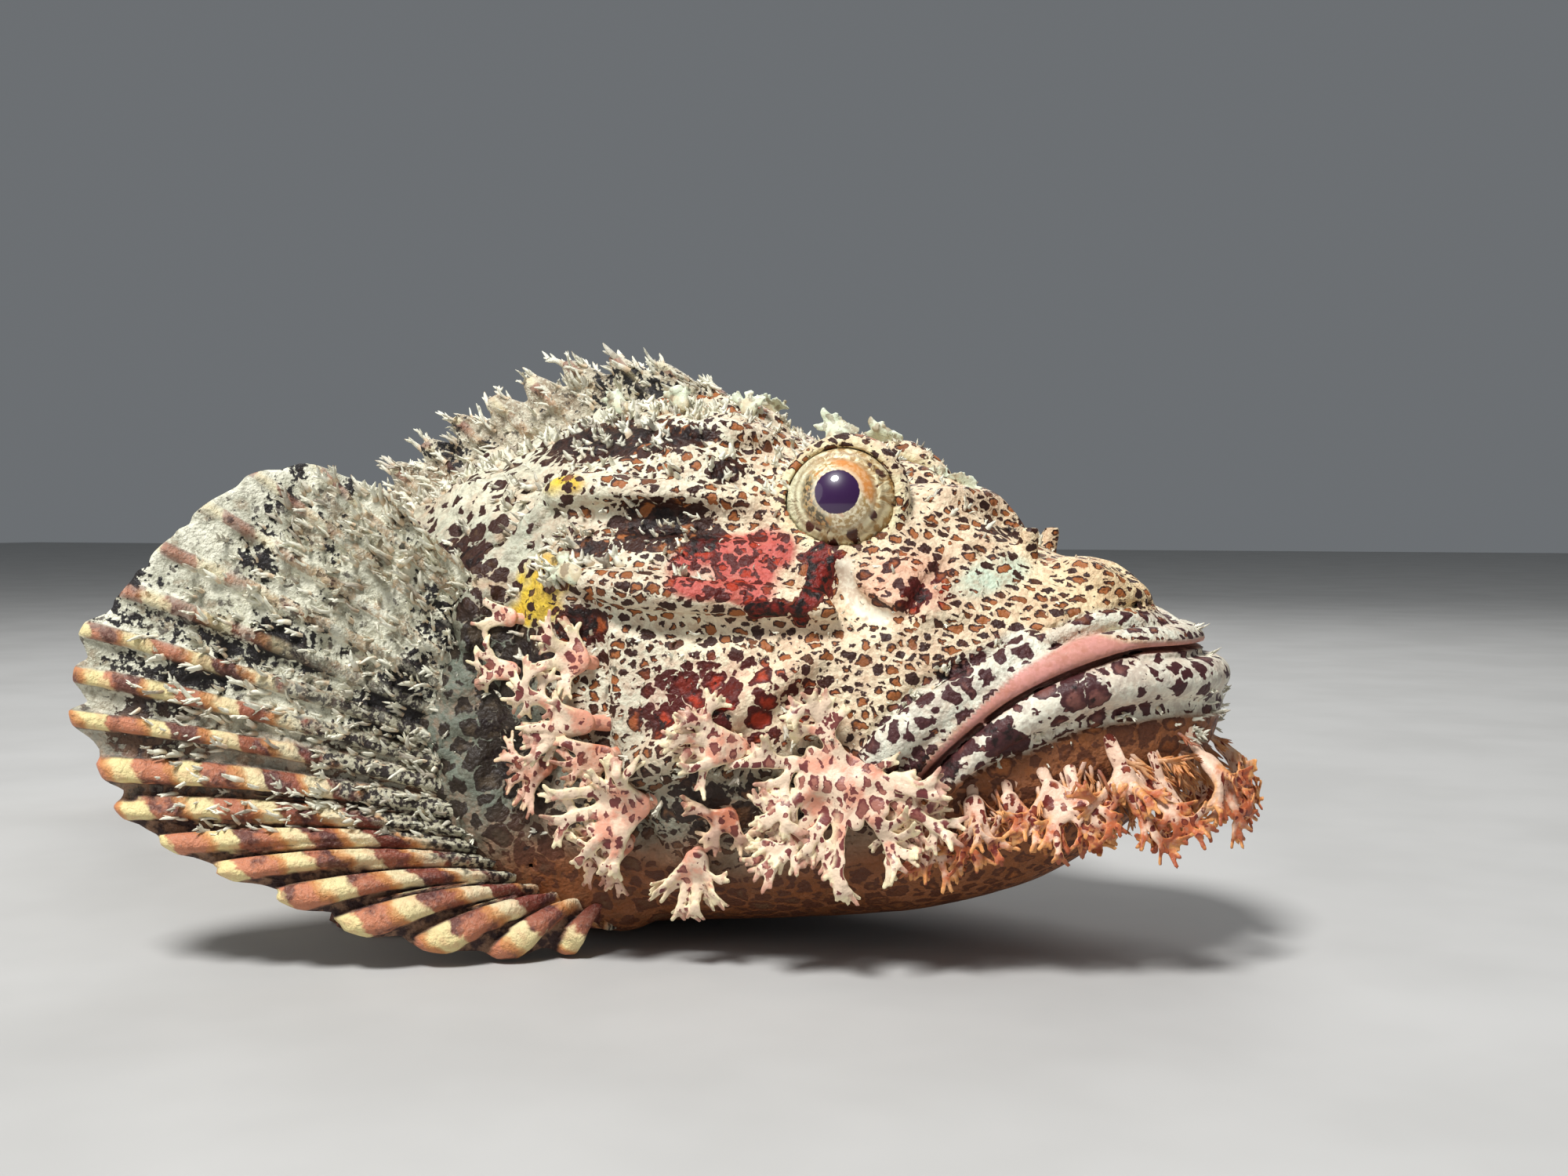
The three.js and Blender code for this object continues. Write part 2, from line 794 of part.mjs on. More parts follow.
// Pelvic fin of the left side, spread flat beside the belly
const pelvicRays = Array.from({ length: 6 }, (_, i) => {
  const share = i / 5;
  const root = V(-104 - 8 * share, 19 - 9 * share, 4.2 - 1.5 * share);
  const length = 33 + 9 * Math.sin(Math.PI * share) - 8 * share;
  const angle = 0.4 - 0.34 * share;
  const tip = V(
    root.x - length * Math.cos(angle),
    root.y + length * Math.sin(angle),
    0.5,
  );
  const knee = mix(root, tip, 0.5).add(V(0, 1.5, 3.2));
  return { root, knee, tip, thick: 1.5 - 0.5 * share };
});

const mirrorRays = (rays) =>
  rays.map((ray) => ({
    ...ray,
    root: mirrored(ray.root),
    knee: mirrored(ray.knee),
    tip: mirrored(ray.tip),
  }));

// A fin of the middle plane from its sizes
function middleFin({ count, start, end, lengths, lean, up, sink, thick, form }) {
  const rays = Array.from({ length: count }, (_, i) => {
    const share = i / (count - 1);
    const x = start + (end - start) * share;
    const edge = readTable(STATIONS, up > 0 ? 1 : 2, x) - up * sink;
    const length = readTable(lengths, 1, share) + sink;
    const tilt = lean[0] + (lean[1] - lean[0]) * share;
    const root = V(x, 0, edge);
    const tip = V(
      x - length * Math.sin(tilt),
      0,
      edge + up * length * Math.cos(tilt),
    );
    const knee = mix(root, tip, 0.5).add(V(1.2, 0, up * 0.8));
    return { root, knee, tip, thick: thick * (1 - 0.35 * share) };
  });
  return fin(rays, form);
}

function caudalFin() {
  const count = 12;
  const rays = Array.from({ length: count }, (_, i) => {
    const share = i / (count - 1);
    const angle = 0.34 - 0.72 * share;
    const root = V(CAUDAL_BASE_X + 3, 0, 34 - 20 * share);
    const length = CAUDAL_LENGTH * (0.86 + 0.17 * Math.sin(Math.PI * share));
    const tip = V(
      root.x - length * Math.cos(angle),
      0,
      root.z + length * Math.sin(angle) + 1,
    );
    return { root, knee: mix(root, tip, 0.5), tip, thick: 1.2 };
  });
  return fin(rays, { rows: 4, notch: 0.1 });
}

// The whole body, then its parts

const underFloor = box(V(-400, -200, -60), V(100, 200, 0));
const body = skinRings(bodyRings(0)).subtract(underFloor);
const bodyGrown = skinRings(bodyRings(GAP));

const eyeRims = SIDES.map(([, way]) => {
  const rim = new THREE.TorusGeometry(RIM_RADIUS, RIM_THICK, 5, 16);
  return atEye(rim.translate(0, 0, -0.5), way);
});
const eyeSockets = SIDES.map(([, way]) =>
  atEye(new THREE.SphereGeometry(EYE_RADIUS + GAP, 16, 10), way),
);

// Trunk and tail stem, parted by a plane across the curved body
const headLine = smoothLine(HEAD_LINE);
const behindHead = prism(
  [
    ...headLine,
    new THREE.Vector2(-320, headLine.at(-1).y),
    new THREE.Vector2(-320, headLine[0].y),
  ],
  -120,
  160,
);
const trunk = body
  .intersect(behindHead)
  .subtract(wall(HEAD_LINE, 2 * GAP, -120, 160));
function behindTailStart(offset) {
  const turn = (BEND_START - TAIL_START_X) * BEND_CURVATURE;
  const start = bend(V(TAIL_START_X, 0, 0));
  const back = V(-Math.cos(turn), Math.sin(turn), 0);
  const geometry = new THREE.BoxGeometry(200, 200, 300);
  geometry.translate(100 + offset, 0, 0);
  geometry.applyQuaternion(
    new THREE.Quaternion().setFromUnitVectors(V(1, 0, 0), back),
  );
  return solid(geometry.translate(start.x, start.y, 0));
}
const torso = trunk.subtract(behindTailStart(0));
const tailStem = trunk.intersect(behindTailStart(GAP));

// The head, parted along the mouth into the lower jaw and the rest
const wholeHead = fuse([body, ...ridges, ...eyeRims]).subtract(behindHead);
const jawSpace = prism(
  [...smoothLine(MOUTH_LINE), new THREE.Vector2(10, -6)],
  -60,
  60,
);
const mouthGap = wall(MOUTH_LINE, 2.2 * GAP, -60, 60);
const lowerJaw = fuse([
  wholeHead.intersect(jawSpace),
  lip(LOWER_LIP, 0.2).intersect(jawSpace),
  ...tassels(JAW_TASSELS, 11),
]).subtract(mouthGap);
const cranium = fuse([
  wholeHead.subtract(jawSpace),
  lip(UPPER_LIP, 0).subtract(jawSpace),
  ...nostrils,
]).subtract(mouthGap);

// The outline of a gill cover, grown by extra about a point inside it
function gillOutline(extra) {
  const inside = new THREE.Vector2(-110, 40);
  return smoothLine(GILL_OUTLINE).map((p) => {
    const away = p.clone().sub(inside).normalize();
    return p.clone().addScaledVector(away, extra);
  });
}
const gillSpace = (way, extra) =>
  way > 0
    ? prism(gillOutline(extra), GILL_DEPTH - extra, 80)
    : prism(gillOutline(extra), -80, extra - GILL_DEPTH);
const gillRoom = fuse(SIDES.map(([, way]) => gillSpace(way, 1.1 * GAP)));
const jawRoom = bodyGrown.add(lip(LOWER_LIP, 0.2 + GAP)).intersect(jawSpace);
const gillTrim = fuse([
  ...tassels(GILL_TASSELS, 61),
  ...spines(GILL_SPINES),
]).subtract(bodyGrown.subtract(gillRoom));
const headTrim = fuse([
  ...tassels(CHEEK_TASSELS, 101),
  ...spines(HEAD_SPINES),
  ...fringe(1),
  ...fringe(-1),
])
  .subtract(jawRoom)
  .subtract(bodyGrown.intersect(gillRoom));
const head = [gillRoom.intersect(bodyGrown), ...eyeSockets].reduce(
  (rest, cut) => rest.subtract(cut),
  cranium.add(headTrim),
);
function gillCover(way) {
  const half = way > 0 ? box(V(-400, 0, -60), V(100, 200, 200)) :
    box(V(-400, -200, -60), V(100, 0, 200));
  return cranium.intersect(gillSpace(way, 0)).add(gillTrim.intersect(half));
}

// A fin without what lies inside the body or under the floor
const seated = (whole) => whole.subtract(bodyGrown).subtract(underFloor);

// The named pieces

const SKIN = { roughness: 0.62, metalness: 0 };
const WET = { roughness: 0.15, metalness: 0 };
const COLOURS = {
  head: 0xc7b294,
  trunk: 0x9aa08e,
  fin: 0xb9a184,
  eye: 0xb59a4e,
};

function piece(name, whole, color, finish = SKIN) {
  const made = new THREE.Mesh(
    geometryOf(largest(whole)),
    new THREE.MeshStandardMaterial({ color, ...finish }),
  );
  made.name = name;
  return made;
}

const fish = new THREE.Group();
fish.add(piece("head", head, COLOURS.head));
fish.add(piece("lower_jaw", lowerJaw, COLOURS.head));
fish.add(piece("torso", torso, COLOURS.trunk));
fish.add(piece("tail_stem", tailStem, COLOURS.trunk));
for (const [side, way] of SIDES) {
  const turned = (rays) => (way > 0 ? rays : mirrorRays(rays));
  const ball = atEye(new THREE.SphereGeometry(EYE_RADIUS, 16, 10), way);
  const pectoral = fin(turned(pectoralRays), PECTORAL_FORM);
  const pelvic = fin(turned(pelvicRays), PELVIC_FORM);
  fish.add(piece(`eye_${side}`, ball, COLOURS.eye, WET));
  fish.add(piece(`gill_cover_${side}`, gillCover(way), COLOURS.head));
  fish.add(piece(`pectoral_fin_${side}`, seated(pectoral), COLOURS.fin));
  fish.add(piece(`pelvic_fin_${side}`, seated(pelvic), COLOURS.fin));
}
fish.add(piece("dorsal_fin_spiny", seated(middleFin(SPINY_DORSAL)), COLOURS.fin));
fish.add(piece("dorsal_fin_soft", seated(middleFin(SOFT_DORSAL)), COLOURS.fin));
fish.add(piece("anal_fin", seated(middleFin(ANAL)), COLOURS.fin));
fish.add(piece("caudal_fin", seated(caudalFin()), COLOURS.fin));

// The origin is on the floor, under the middle of the whole fish
const extent = new THREE.Box3().setFromObject(fish, true);
const middle = extent.getCenter(V());
fish.position.set(-middle.x, -middle.y, -extent.min.z);

export default fish;
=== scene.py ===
"""Looks of a life-size tasselled scorpionfish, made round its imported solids.

Shapes are worked out in millimetres in the straight frame of the part: x is
about 0 at the lower jaw's tip and falls towards the tail, z is up from the
floor, and what lies behind BEND_START then curves towards +Y. Lists hold the
left side's places, and both sides are made from them.
"""

import math
from types import SimpleNamespace

import bpy
import numpy as np
import openvdb as vdb
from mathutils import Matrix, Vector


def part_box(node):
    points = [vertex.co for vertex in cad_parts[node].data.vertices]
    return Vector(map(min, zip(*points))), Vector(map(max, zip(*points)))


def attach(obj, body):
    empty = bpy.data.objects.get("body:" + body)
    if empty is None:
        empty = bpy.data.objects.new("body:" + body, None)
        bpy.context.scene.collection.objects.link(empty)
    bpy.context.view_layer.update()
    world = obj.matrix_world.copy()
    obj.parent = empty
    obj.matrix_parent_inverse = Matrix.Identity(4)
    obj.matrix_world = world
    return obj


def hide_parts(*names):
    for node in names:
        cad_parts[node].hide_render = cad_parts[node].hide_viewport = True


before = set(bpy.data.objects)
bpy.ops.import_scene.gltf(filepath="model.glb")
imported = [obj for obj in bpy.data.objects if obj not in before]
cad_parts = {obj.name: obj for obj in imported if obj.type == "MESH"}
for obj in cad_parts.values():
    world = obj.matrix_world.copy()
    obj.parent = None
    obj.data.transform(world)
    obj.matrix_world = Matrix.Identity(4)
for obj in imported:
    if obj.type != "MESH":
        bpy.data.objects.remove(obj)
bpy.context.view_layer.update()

# Sizes and tables of the part, in millimetres

MM = 0.001
BEND_START = -114
BEND_CURVATURE = 0.0056
CAUDAL_BASE_X = -231
SNOUT_X = -2.2
FLOOR_GAP = 0.05
MIRROR = np.array([1, -1, 1])
SIDES = (("left", 1), ("right", -1))

# The solid's eye, and the shown one, which the lids set a little further back
CAD_EYE = np.array([-56, 15.2, 69.4])
EYE = CAD_EYE + [-1.4, 0.2, 0.1]
EYE_RADIUS = 8.7
EYE_FACING = np.array([0.12, 0.93, 0.34])
EYE_FACING /= np.linalg.norm(EYE_FACING)

# x, top, underside, half width, height of the widest point
STATIONS = [
    [-2.4, 42, 38, 3, 40],
    [-4.2, 45.2, 33.5, 7.6, 39.5],
    [-7.6, 49.2, 29.5, 11.8, 39],
    [-13, 54.2, 23.5, 15.9, 38],
    [-20, 59.4, 17.6, 19.6, 37],
    [-30, 63, 11.3, 22.8, 36],
    [-44, 71.5, 6.6, 27, 34.5],
    [-56, 74.5, 4.5, 29.8, 34],
    [-70, 80.6, 3, 33.3, 33],
    [-82, 85.4, 2, 35.6, 32.5],
    [-94, 85.5, 0.6, 36, 32],
    [-110, 81.5, -1.5, 33, 31],
    [-130, 74, -1.5, 29, 29.5],
    [-150, 64.5, -1.5, 24, 27],
    [-170, 54, 0.5, 18.5, 25.5],
    [-190, 45, 5.5, 13, 24.5],
    [-212, 38.5, 10, 8.5, 24],
    [CAUDAL_BASE_X, 36.5, 11.5, 5.5, 24],
]
# How square a section is above and below its widest point, 2 for an oval
SQUARE_ABOVE = 2.05
SQUARE_BELOW = 2.5

# Lumps and one hollow of the head: x, y, z, how wide and how high
SWELLINGS = [
    [-56, 15, 69, 15, 2.6],
    [-43, 7, 70, 9, 2.4],
    [-36, 11, 62, 8, 1.5],
    [-20, 4, 59, 9, 1.2],
    [-46, 22, 57, 8.5, 2.5],
    [-66, 29, 55, 10, 1.6],
    [-84, 33, 57, 11, 2.6],
    [-98, 33, 58, 12, 2.4],
    [-80, 20, 75, 9, 1.8],
    [-94, 25, 71, 10, 2.6],
    [-72, 32, 30, 15, 1.8],
    [-64, 0, 80, 8, -2],
]

# Lines on the side, as [x, z] places
MOUTH_LINE = [[-3, 48.2], [-5, 48.4], [-14, 48], [-27, 42.5], [-36, 35.5], [-43, 28], [-48, 21]]
GILL_EDGE = [[-94, 76], [-100, 72], [-109, 60], [-112, 46], [-109, 28], [-98, 14], [-84, 4]]
GILL_GROOVE = [[x - 2.6, z] for x, z in GILL_EDGE]

# Ridges on the side: [x, z] places, radii, how far each is lifted off the skin
# and how softly it joins it
RIDGES = [
    # Upper jaw, under the eye, brow and crown, temple, and back of the cheek
    ([[-15, 53.5], [-26, 49], [-37, 41.5], [-46, 35], [-50, 30]], [1.2, 2.4, 3.2, 3.2, 2], -0.6, 1.2),
    ([[-38, 53.5], [-52, 54], [-68, 55.5], [-84, 57], [-93, 58]], [1, 1.9, 2.1, 2.4, 1.6], 0, 1.5),
    ([[-42, 73.5], [-49, 77.6], [-57, 78.6], [-66, 78], [-78, 80], [-87, 82]],
     [1.2, 2.2, 2.4, 2.2, 2.2, 1.2], 0.1, 1.4),
    ([[-70, 70], [-84, 71], [-97, 71.5], [-105, 70.5]], [1.2, 2.1, 2.1, 1.2], 0.1, 1.4),
    ([[-57, 47], [-68, 40], [-78, 33], [-88, 27]], [1.2, 2.2, 2.4, 1.6], -0.2, 2),
    # Upper lip and lower jaw
    ([[-8.5, 51], [-13.5, 51.8], [-17.8, 52.3], [-21.2, 51.3], [-27.7, 47.6], [-33, 43],
      [-39.4, 37], [-44, 31.5]], [1.2, 1.4, 1.5, 1.5, 1.4, 1.3, 1.2, 1], 0.3, 0.5),
    ([[-5, 43], [-12, 43], [-20, 41.6], [-27, 38], [-34, 33.4], [-40, 27.5]],
     [3.4, 3.8, 4, 3.8, 3.2, 2.2], -2.4, 0.8),
    # Snout, twice, and the edge of the gill cover
    ([[-33, 67], [-38, 70], [-43, 71]], [1.2, 2.2, 1.4], -0.5, 1.6),
    ([[-25, 60.5], [-20, 58.5], [-14, 55]], [1, 1.4, 1], -0.5, 2),
    ([[-100, 73], [-109, 61], [-111.6, 46], [-108.6, 28], [-98, 15]], [1, 1.5, 1.6, 1.5, 1], 0, 1.6),
]

# Rounded rims that leave the side: [x, y, z] places, radii and how softly they
# join. They are both lips and the root of the pectoral fin.
RIMS = [
    ([[-7, 0, 48.9], [-9.6, 9.2, 48.9], [-16, 16.2, 48.6], [-25, 21, 45.6], [-34, 24.6, 39.4],
      [-42, 27, 31.5]], [2.3, 2.5, 2.5, 2.4, 2.1, 1.4], 0.8),
    ([[-3.4, 0, 44], [-6, 9.2, 44], [-13.4, 16.6, 43.8], [-24, 21.6, 41], [-33, 24.8, 34.5],
      [-40, 27, 27.5]], [2.4, 2.4, 2.4, 2.3, 2, 1.4], 1.2),
    ([[-112, 26, 58], [-115, 29, 34], [-108, 28, 18], [-91, 22, 7]], [4, 5.5, 5.5, 3.5], 5),
]

# The crest under each dorsal fin: from x, to x and radius
CRESTS = ((-74, -164, 2.2), (-164, -206, 1.6))

# Creases, as RIDGES has them, but dug
CREASES = [
    # Round the lips and the upper jaw
    ([[-13, 55], [-17.5, 53.9], [-21.1, 52.8], [-27.1, 49.6], [-32.5, 45.8], [-38.7, 40.6],
      [-44.8, 34.3], [-49, 28]], [0.4, 0.65, 0.75, 0.75, 0.75, 0.8, 0.8, 0.5], 0.2, 0.5),
    ([[-30, 50], [-33.5, 47.6], [-39.4, 44.6], [-45.2, 40.5], [-50, 34.5]],
     [0.4, 0.8, 0.95, 0.95, 0.6], 0.3, 0.6),
    ([[-9, 49.6], [-13.6, 49.9], [-18.2, 50.6], [-21.4, 49.8], [-28.3, 45.8], [-33.6, 40.6],
      [-40, 34]], [0.3, 0.4, 0.4, 0.4, 0.4, 0.4, 0.3], 1.3, 0.5),
    ([[-4, 40], [-9.8, 39.8], [-20.5, 37.6], [-30.3, 33.6], [-39.5, 28.5]],
     [0.7, 0.9, 1, 1, 0.7], 0.8, 1),
    # Ahead of the eye, under it, the nostril's, and behind and under the eye
    ([[-40.2, 61], [-42.6, 57.4], [-44.4, 53], [-45, 48]], [0.6, 1, 1, 0.6], 0.2, 0.8),
    ([[-55.5, 59], [-54.5, 56.5], [-51, 53.6], [-46, 52.6]], [1.2, 2, 1.8, 1], 0.5, 1.6),
    ([[-34, 61], [-38, 64.5], [-43.5, 66.5]], [0.9, 0.8, 0.5], 0.2, 1),
    ([[-66, 66], [-80, 67.2], [-95, 67.5]], [1.4, 2, 1.4], 0.5, 2),
    ([[-52, 50.5], [-62, 51], [-74, 50.6], [-88, 53]], [1, 1.3, 1.4, 1], 0.7, 1.8),
    # Behind the gill cover, and ahead of it
    (GILL_GROOVE, [0.6, 1.4, 1.6, 1.6, 1.4, 0.9, 0.5], 0.6, 0.5),
    ([[-91, 56], [-89.5, 46], [-88.5, 36], [-84, 25], [-80, 17]], [0.7, 1.6, 1.6, 1.5, 0.8], 0.4, 1.2),
]

# Small helpers


def read_table(rows, x):
    """The smooth curve through rows of [position, ...values], read at every x."""
    rows = np.array(rows, float)
    x = np.asarray(x, float)
    if rows[-1, 0] < rows[0, 0]:
        rows[:, 0] *= -1
        x = -x
    a, v = rows[:, 0], rows[:, 1:]
    x = np.clip(x, a[0], a[-1])
    i = np.clip(np.searchsorted(a, x) - 1, 0, len(a) - 2)
    before = np.maximum(np.arange(len(a)) - 1, 0)
    after = np.minimum(np.arange(len(a)) + 1, len(a) - 1)
    slope = (v[after] - v[before]) / (a[after] - a[before])[:, None]
    span = (a[i + 1] - a[i])[..., None]
    t = (x - a[i])[..., None] / span
    t2, t3 = t * t, t * t * t
    return (
        v[i] * (2 * t3 - 3 * t2 + 1)
        + slope[i] * span * (t3 - 2 * t2 + t)
        + v[i + 1] * (3 * t2 - 2 * t3)
        + slope[i + 1] * span * (t3 - t2)
    )


def smooth_line(points, steps):
    """Points along a smooth curve through control points of any dimension."""
    points = np.array(points, float)
    far = np.linalg.norm(np.diff(points[:, :3], axis=0), axis=1)
    run = np.r_[0, np.cumsum(np.sqrt(far))]
    at = np.linspace(0, run[-1], steps + 1)
    return read_table(np.c_[run, points], at)


def bend(p):
    """Carries points of the straight frame onto the curved body."""
    p = np.array(p, float)
    back = np.maximum(BEND_START - p[..., 0], 0)
    turn = back * BEND_CURVATURE
    curved = np.stack([
        BEND_START - np.sin(turn) / BEND_CURVATURE + p[..., 1] * np.sin(turn),
        (1 - np.cos(turn)) / BEND_CURVATURE + p[..., 1] * np.cos(turn),
        p[..., 2],
    ], -1)
    return np.where((back > 0)[..., None], curved, p)


low, high = (np.array(corner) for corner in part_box("eye_right"))
OFFSET = (low + high) / 2 / MM - CAD_EYE * MIRROR


def to_part(p):
    """Metres in the part's frame from millimetres of the bent design."""
    return (np.asarray(p) + OFFSET) * MM


def unit(v):
    """Directions one unit long."""
    v = np.asarray(v, float)
    return v / np.maximum(np.linalg.norm(v, axis=-1, keepdims=True), 1e-9)


def step(low, high, x):
    """A smooth rise from 0 at low to 1 at high."""
    t = np.clip((x - low) / (high - low), 0, 1)
    return t * t * (3 - 2 * t)


def stack(*values):
    """Values side by side in a last axis, each spread to the others' size."""
    return np.stack(np.broadcast_arrays(*values), -1)


def scramble(cells, seed):
    """Repeatable numbers from 0 to 1 for whole-number cells."""
    c = cells.astype(np.int64)
    h = c[..., 0] * 374761393 + c[..., 1] * 668265263 + c[..., 2] * 1274126177
    h = (h + seed * 974711) & 0x7FFFFFFF
    h = ((h ^ (h >> 13)) * 1103515245) & 0x7FFFFFFF
    h = ((h ^ (h >> 15)) * 69069) & 0x7FFFFFFF
    return (h ^ (h >> 16)) / 0x7FFFFFFF


def noise(p, size, seed=0):
    """Smooth random values from -1 to 1 that vary over about size."""
    q = np.asarray(p) / size + seed * 7.31
    cell = np.floor(q)
    f = q - cell
    f = f * f * (3 - 2 * f)
    total = 0
    for corner in np.ndindex(2, 2, 2):
        weight = np.prod(np.where(corner, f, 1 - f), axis=-1)
        total = total + weight * scramble(cell + corner, seed)
    return total * 2 - 1


def scattered_points(p, size, seed):
    """Distance to the nearest of scattered points, in units of size, and a
    random number of that point."""
    q = np.asarray(p) / size
    cell = np.floor(q)
    best = np.full(q.shape[:-1], 9.0)
    name = np.zeros(q.shape[:-1])
    for corner in np.ndindex(3, 3, 3):
        c = cell + np.array(corner) - 1
        jitter = np.stack([scramble(c, seed + k) for k in (1, 2, 3)], -1)
        away = np.linalg.norm(c + jitter - q, axis=-1)
        near = away < best
        best = np.where(near, away, best)
        name = np.where(near, scramble(c, seed + 4), name)
    return best, name


# The body's skin in the straight frame


def skin_point(x, angle):
    """Points of the skin. The angle starts at the top and runs down the right."""
    x, angle = np.broadcast_arrays(np.asarray(x, float), angle)
    top, under, half, wide = np.moveaxis(read_table(STATIONS, x), -1, 0)
    up, out = np.cos(angle), -np.sin(angle)
    power = np.where(up > 0, SQUARE_ABOVE, SQUARE_BELOW)
    reach = np.where(up > 0, top - wide, wide - under)
    size = (np.abs(up) ** power + np.abs(out) ** power) ** (-1 / power)
    p = stack(x, half * out * size, wide + reach * up * size)
    for *middle, wide_of, high_of in SWELLINGS:
        away = np.linalg.norm(np.abs(p * [0, 1, 0]) + p * [1, 0, 1] - middle, axis=-1)
        rise = high_of * np.clip(1 - (away / wide_of) ** 2, 0, 1) ** 2
        side = unit(stack(0 * x, p[..., 1], p[..., 2] - wide))
        p = p + side * rise[..., None]
    return p


def on_skin(x, z):
    """The left side's skin at each x and height, its outward direction and its
    angle."""
    x, z = np.broadcast_arrays(np.asarray(x, float), np.asarray(z, float))
    low = np.full(x.shape, math.pi)
    high = np.full(x.shape, 2 * math.pi)
    for _ in range(22):
        middle = (low + high) / 2
        under = skin_point(x, middle)[..., 2] < z
        low = np.where(under, middle, low)
        high = np.where(under, high, middle)
    along = skin_point(x + 0.5, low) - skin_point(x - 0.5, low)
    around = skin_point(x, low + 0.04) - skin_point(x, low - 0.04)
    out = unit(np.cross(around, along))
    out = np.where(out[..., 1:2] < 0, -out, out)
    return skin_point(x, low), out, low


# Fields: signed distances on a box of voxels, joined softly

FAR = 9
VOXEL = 0.62


class Field:
    """Distances up to FAR, and a tag that each rod leaves where it is nearest."""

    def __init__(self, xs, ys, zs, tagged=False):
        self.lines = [np.asarray(line, np.float32) for line in (xs, ys, zs)]
        self.value = np.full([len(line) for line in self.lines], FAR, np.float32)
        self.tag = np.zeros(self.value.shape, np.float32) if tagged else None

    def grid(self, part=(slice(None),) * 3):
        x, y, z = (line[cut] for line, cut in zip(self.lines, part))
        return x[:, None, None], y[None, :, None], z[None, None, :]

    def near(self, low, high):
        return tuple(
            slice(*np.searchsorted(line, [a, b]))
            for line, a, b in zip(self.lines, low, high)
        )

    def stick(self, a, b, ra, rb, soft, sign=1, tags=(0, 0)):
        """Adds a tapered rod from a to b, or with sign -1 digs it."""
        room = 1.2
        pad = max(ra, rb) + soft + room
        part = self.near(np.minimum(a, b) - pad, np.maximum(a, b) + pad)
        old = self.value[part]
        if not old.size:
            return
        way = b - a
        x, y, z = (line - start for line, start in zip(self.grid(part), a))
        t = (x * way[0] + y * way[1] + z * way[2]) / max(way @ way, 1e-9)
        t = np.clip(t, 0, 1)
        away = np.sqrt((x - t * way[0]) ** 2 + (y - t * way[1]) ** 2 + (z - t * way[2]) ** 2)
        far = (away - ra - (rb - ra) * t).astype(np.float32)
        if self.tag is not None:
            tag = tags[0] + (tags[1] - tags[0]) * t
            self.tag[part] = np.where(far < old, tag, self.tag[part])
        self.value[part] = self.join(old, far, soft, sign)

    @staticmethod
    def join(a, b, soft, sign=1):
        """The soft union of two fields, or with sign -1 the first without the
        second."""
        a = a * sign
        h = np.clip(0.5 + 0.5 * (b - a) / soft, 0, 1)
        return (b + (a - b) * h - soft * h * (1 - h)) * sign

    def strand(self, points, radii, soft, sign=1):
        """Adds or digs a rod along a smooth line."""
        line = smooth_line(np.c_[points, radii], 4 * len(points))
        for p, q in zip(line[:-1], line[1:]):
            self.stick(p[:3], q[:3], p[3], q[3], soft, sign)

    def surface(self):
        """The zero surface as points and outward quads."""
        grid = vdb.FloatGrid(float(FAR))
        grid.copyFromArray(np.clip(self.value, -FAR, FAR).astype(np.float32))
        points, quads = grid.convertToQuads(isovalue=0.0)
        points = stack(*(
            np.interp(points[:, k], np.arange(len(line)), line)
            for k, line in enumerate(self.lines)
        ))
        return points, quads.astype(np.int64)


def body_distances(f):
    """The field of the plain body with its swellings, cut off at both ends."""
    x, y, z = f.grid()
    top, under, half, wide = read_table(STATIONS, f.lines[0]).T[:, :, None, None]
    half = half * (1 - 0.68 * step(-218, -233, x))
    rise = z - wide
    ray = np.sqrt(y * y + rise * rise) + 1e-4
    power = np.where(rise > 0, SQUARE_ABOVE, SQUARE_BELOW)
    reach = np.where(rise > 0, top - wide, wide - under)
    r = ((y / half) ** power + (np.abs(rise) / reach) ** power) ** (1 / power)
    value = ray - ray / np.maximum(r, 1e-3)
    for at_x, at_y, at_z, wide_of, high_of in SWELLINGS:
        away2 = (x - at_x) ** 2 + (y - at_y) ** 2 + (z - at_z) ** 2
        value -= high_of * np.clip(1 - away2 / wide_of ** 2, 0, 1) ** 2
    slope = np.gradient(value, *f.lines)
    steep = np.sqrt(slope[0] ** 2 + slope[1] ** 2 + slope[2] ** 2)
    value = value / np.clip(steep, 0.8, 4)
    value = -Field.join(-value, SNOUT_X - x + 0 * value, 1.5)
    value = -Field.join(-value, x - CAUDAL_BASE_X + 0 * value, 2)
    return value.astype(np.float32)


def on_side(places, lift):
    """Places in space for [x, z] places on the left side, lifted off the skin."""
    places = np.array(places, float)
    at, out, _ = on_skin(places[:, 0], places[:, 1])
    return at + out * lift


def add_eye_and_nostrils(f):
    """The lid round the eye, the eye's socket and the two nostrils of a side."""
    across = unit(np.cross(EYE_FACING, [0, 0, 1]))
    over = np.cross(across, EYE_FACING)
    parts = 24
    turn = 2 * math.pi / parts
    for k in range(parts):
        a, b = (
            EYE + EYE_FACING * 1.2
            + (EYE_RADIUS + 0.1) * (across * math.cos(angle) + over * math.sin(angle))
            for angle in (k * turn, (k + 1) * turn)
        )
        thick = 1.3 + 0.9 * max(0, math.sin(k * turn + 0.5))
        f.stick(a, b, thick, thick, 1)
    f.stick(EYE, EYE + 0.01, EYE_RADIUS + 0.12, EYE_RADIUS + 0.12, 0.25, -1)
    for a, b, ra, rb, soft, sign in (
        ([-31, 7.5, 61], [-30, 8.4, 65.4], 1.9, 1.3, 0.8, 1),
        ([-30.6, 8, 63], [-29.9, 8.5, 67], 0.7, 0.8, 0.2, -1),
        ([-37, 12, 60], [-37, 14, 65], 0.6, 0.7, 0.6, -1),
    ):
        f.stick(np.array(a), np.array(b), ra, rb, soft, sign)


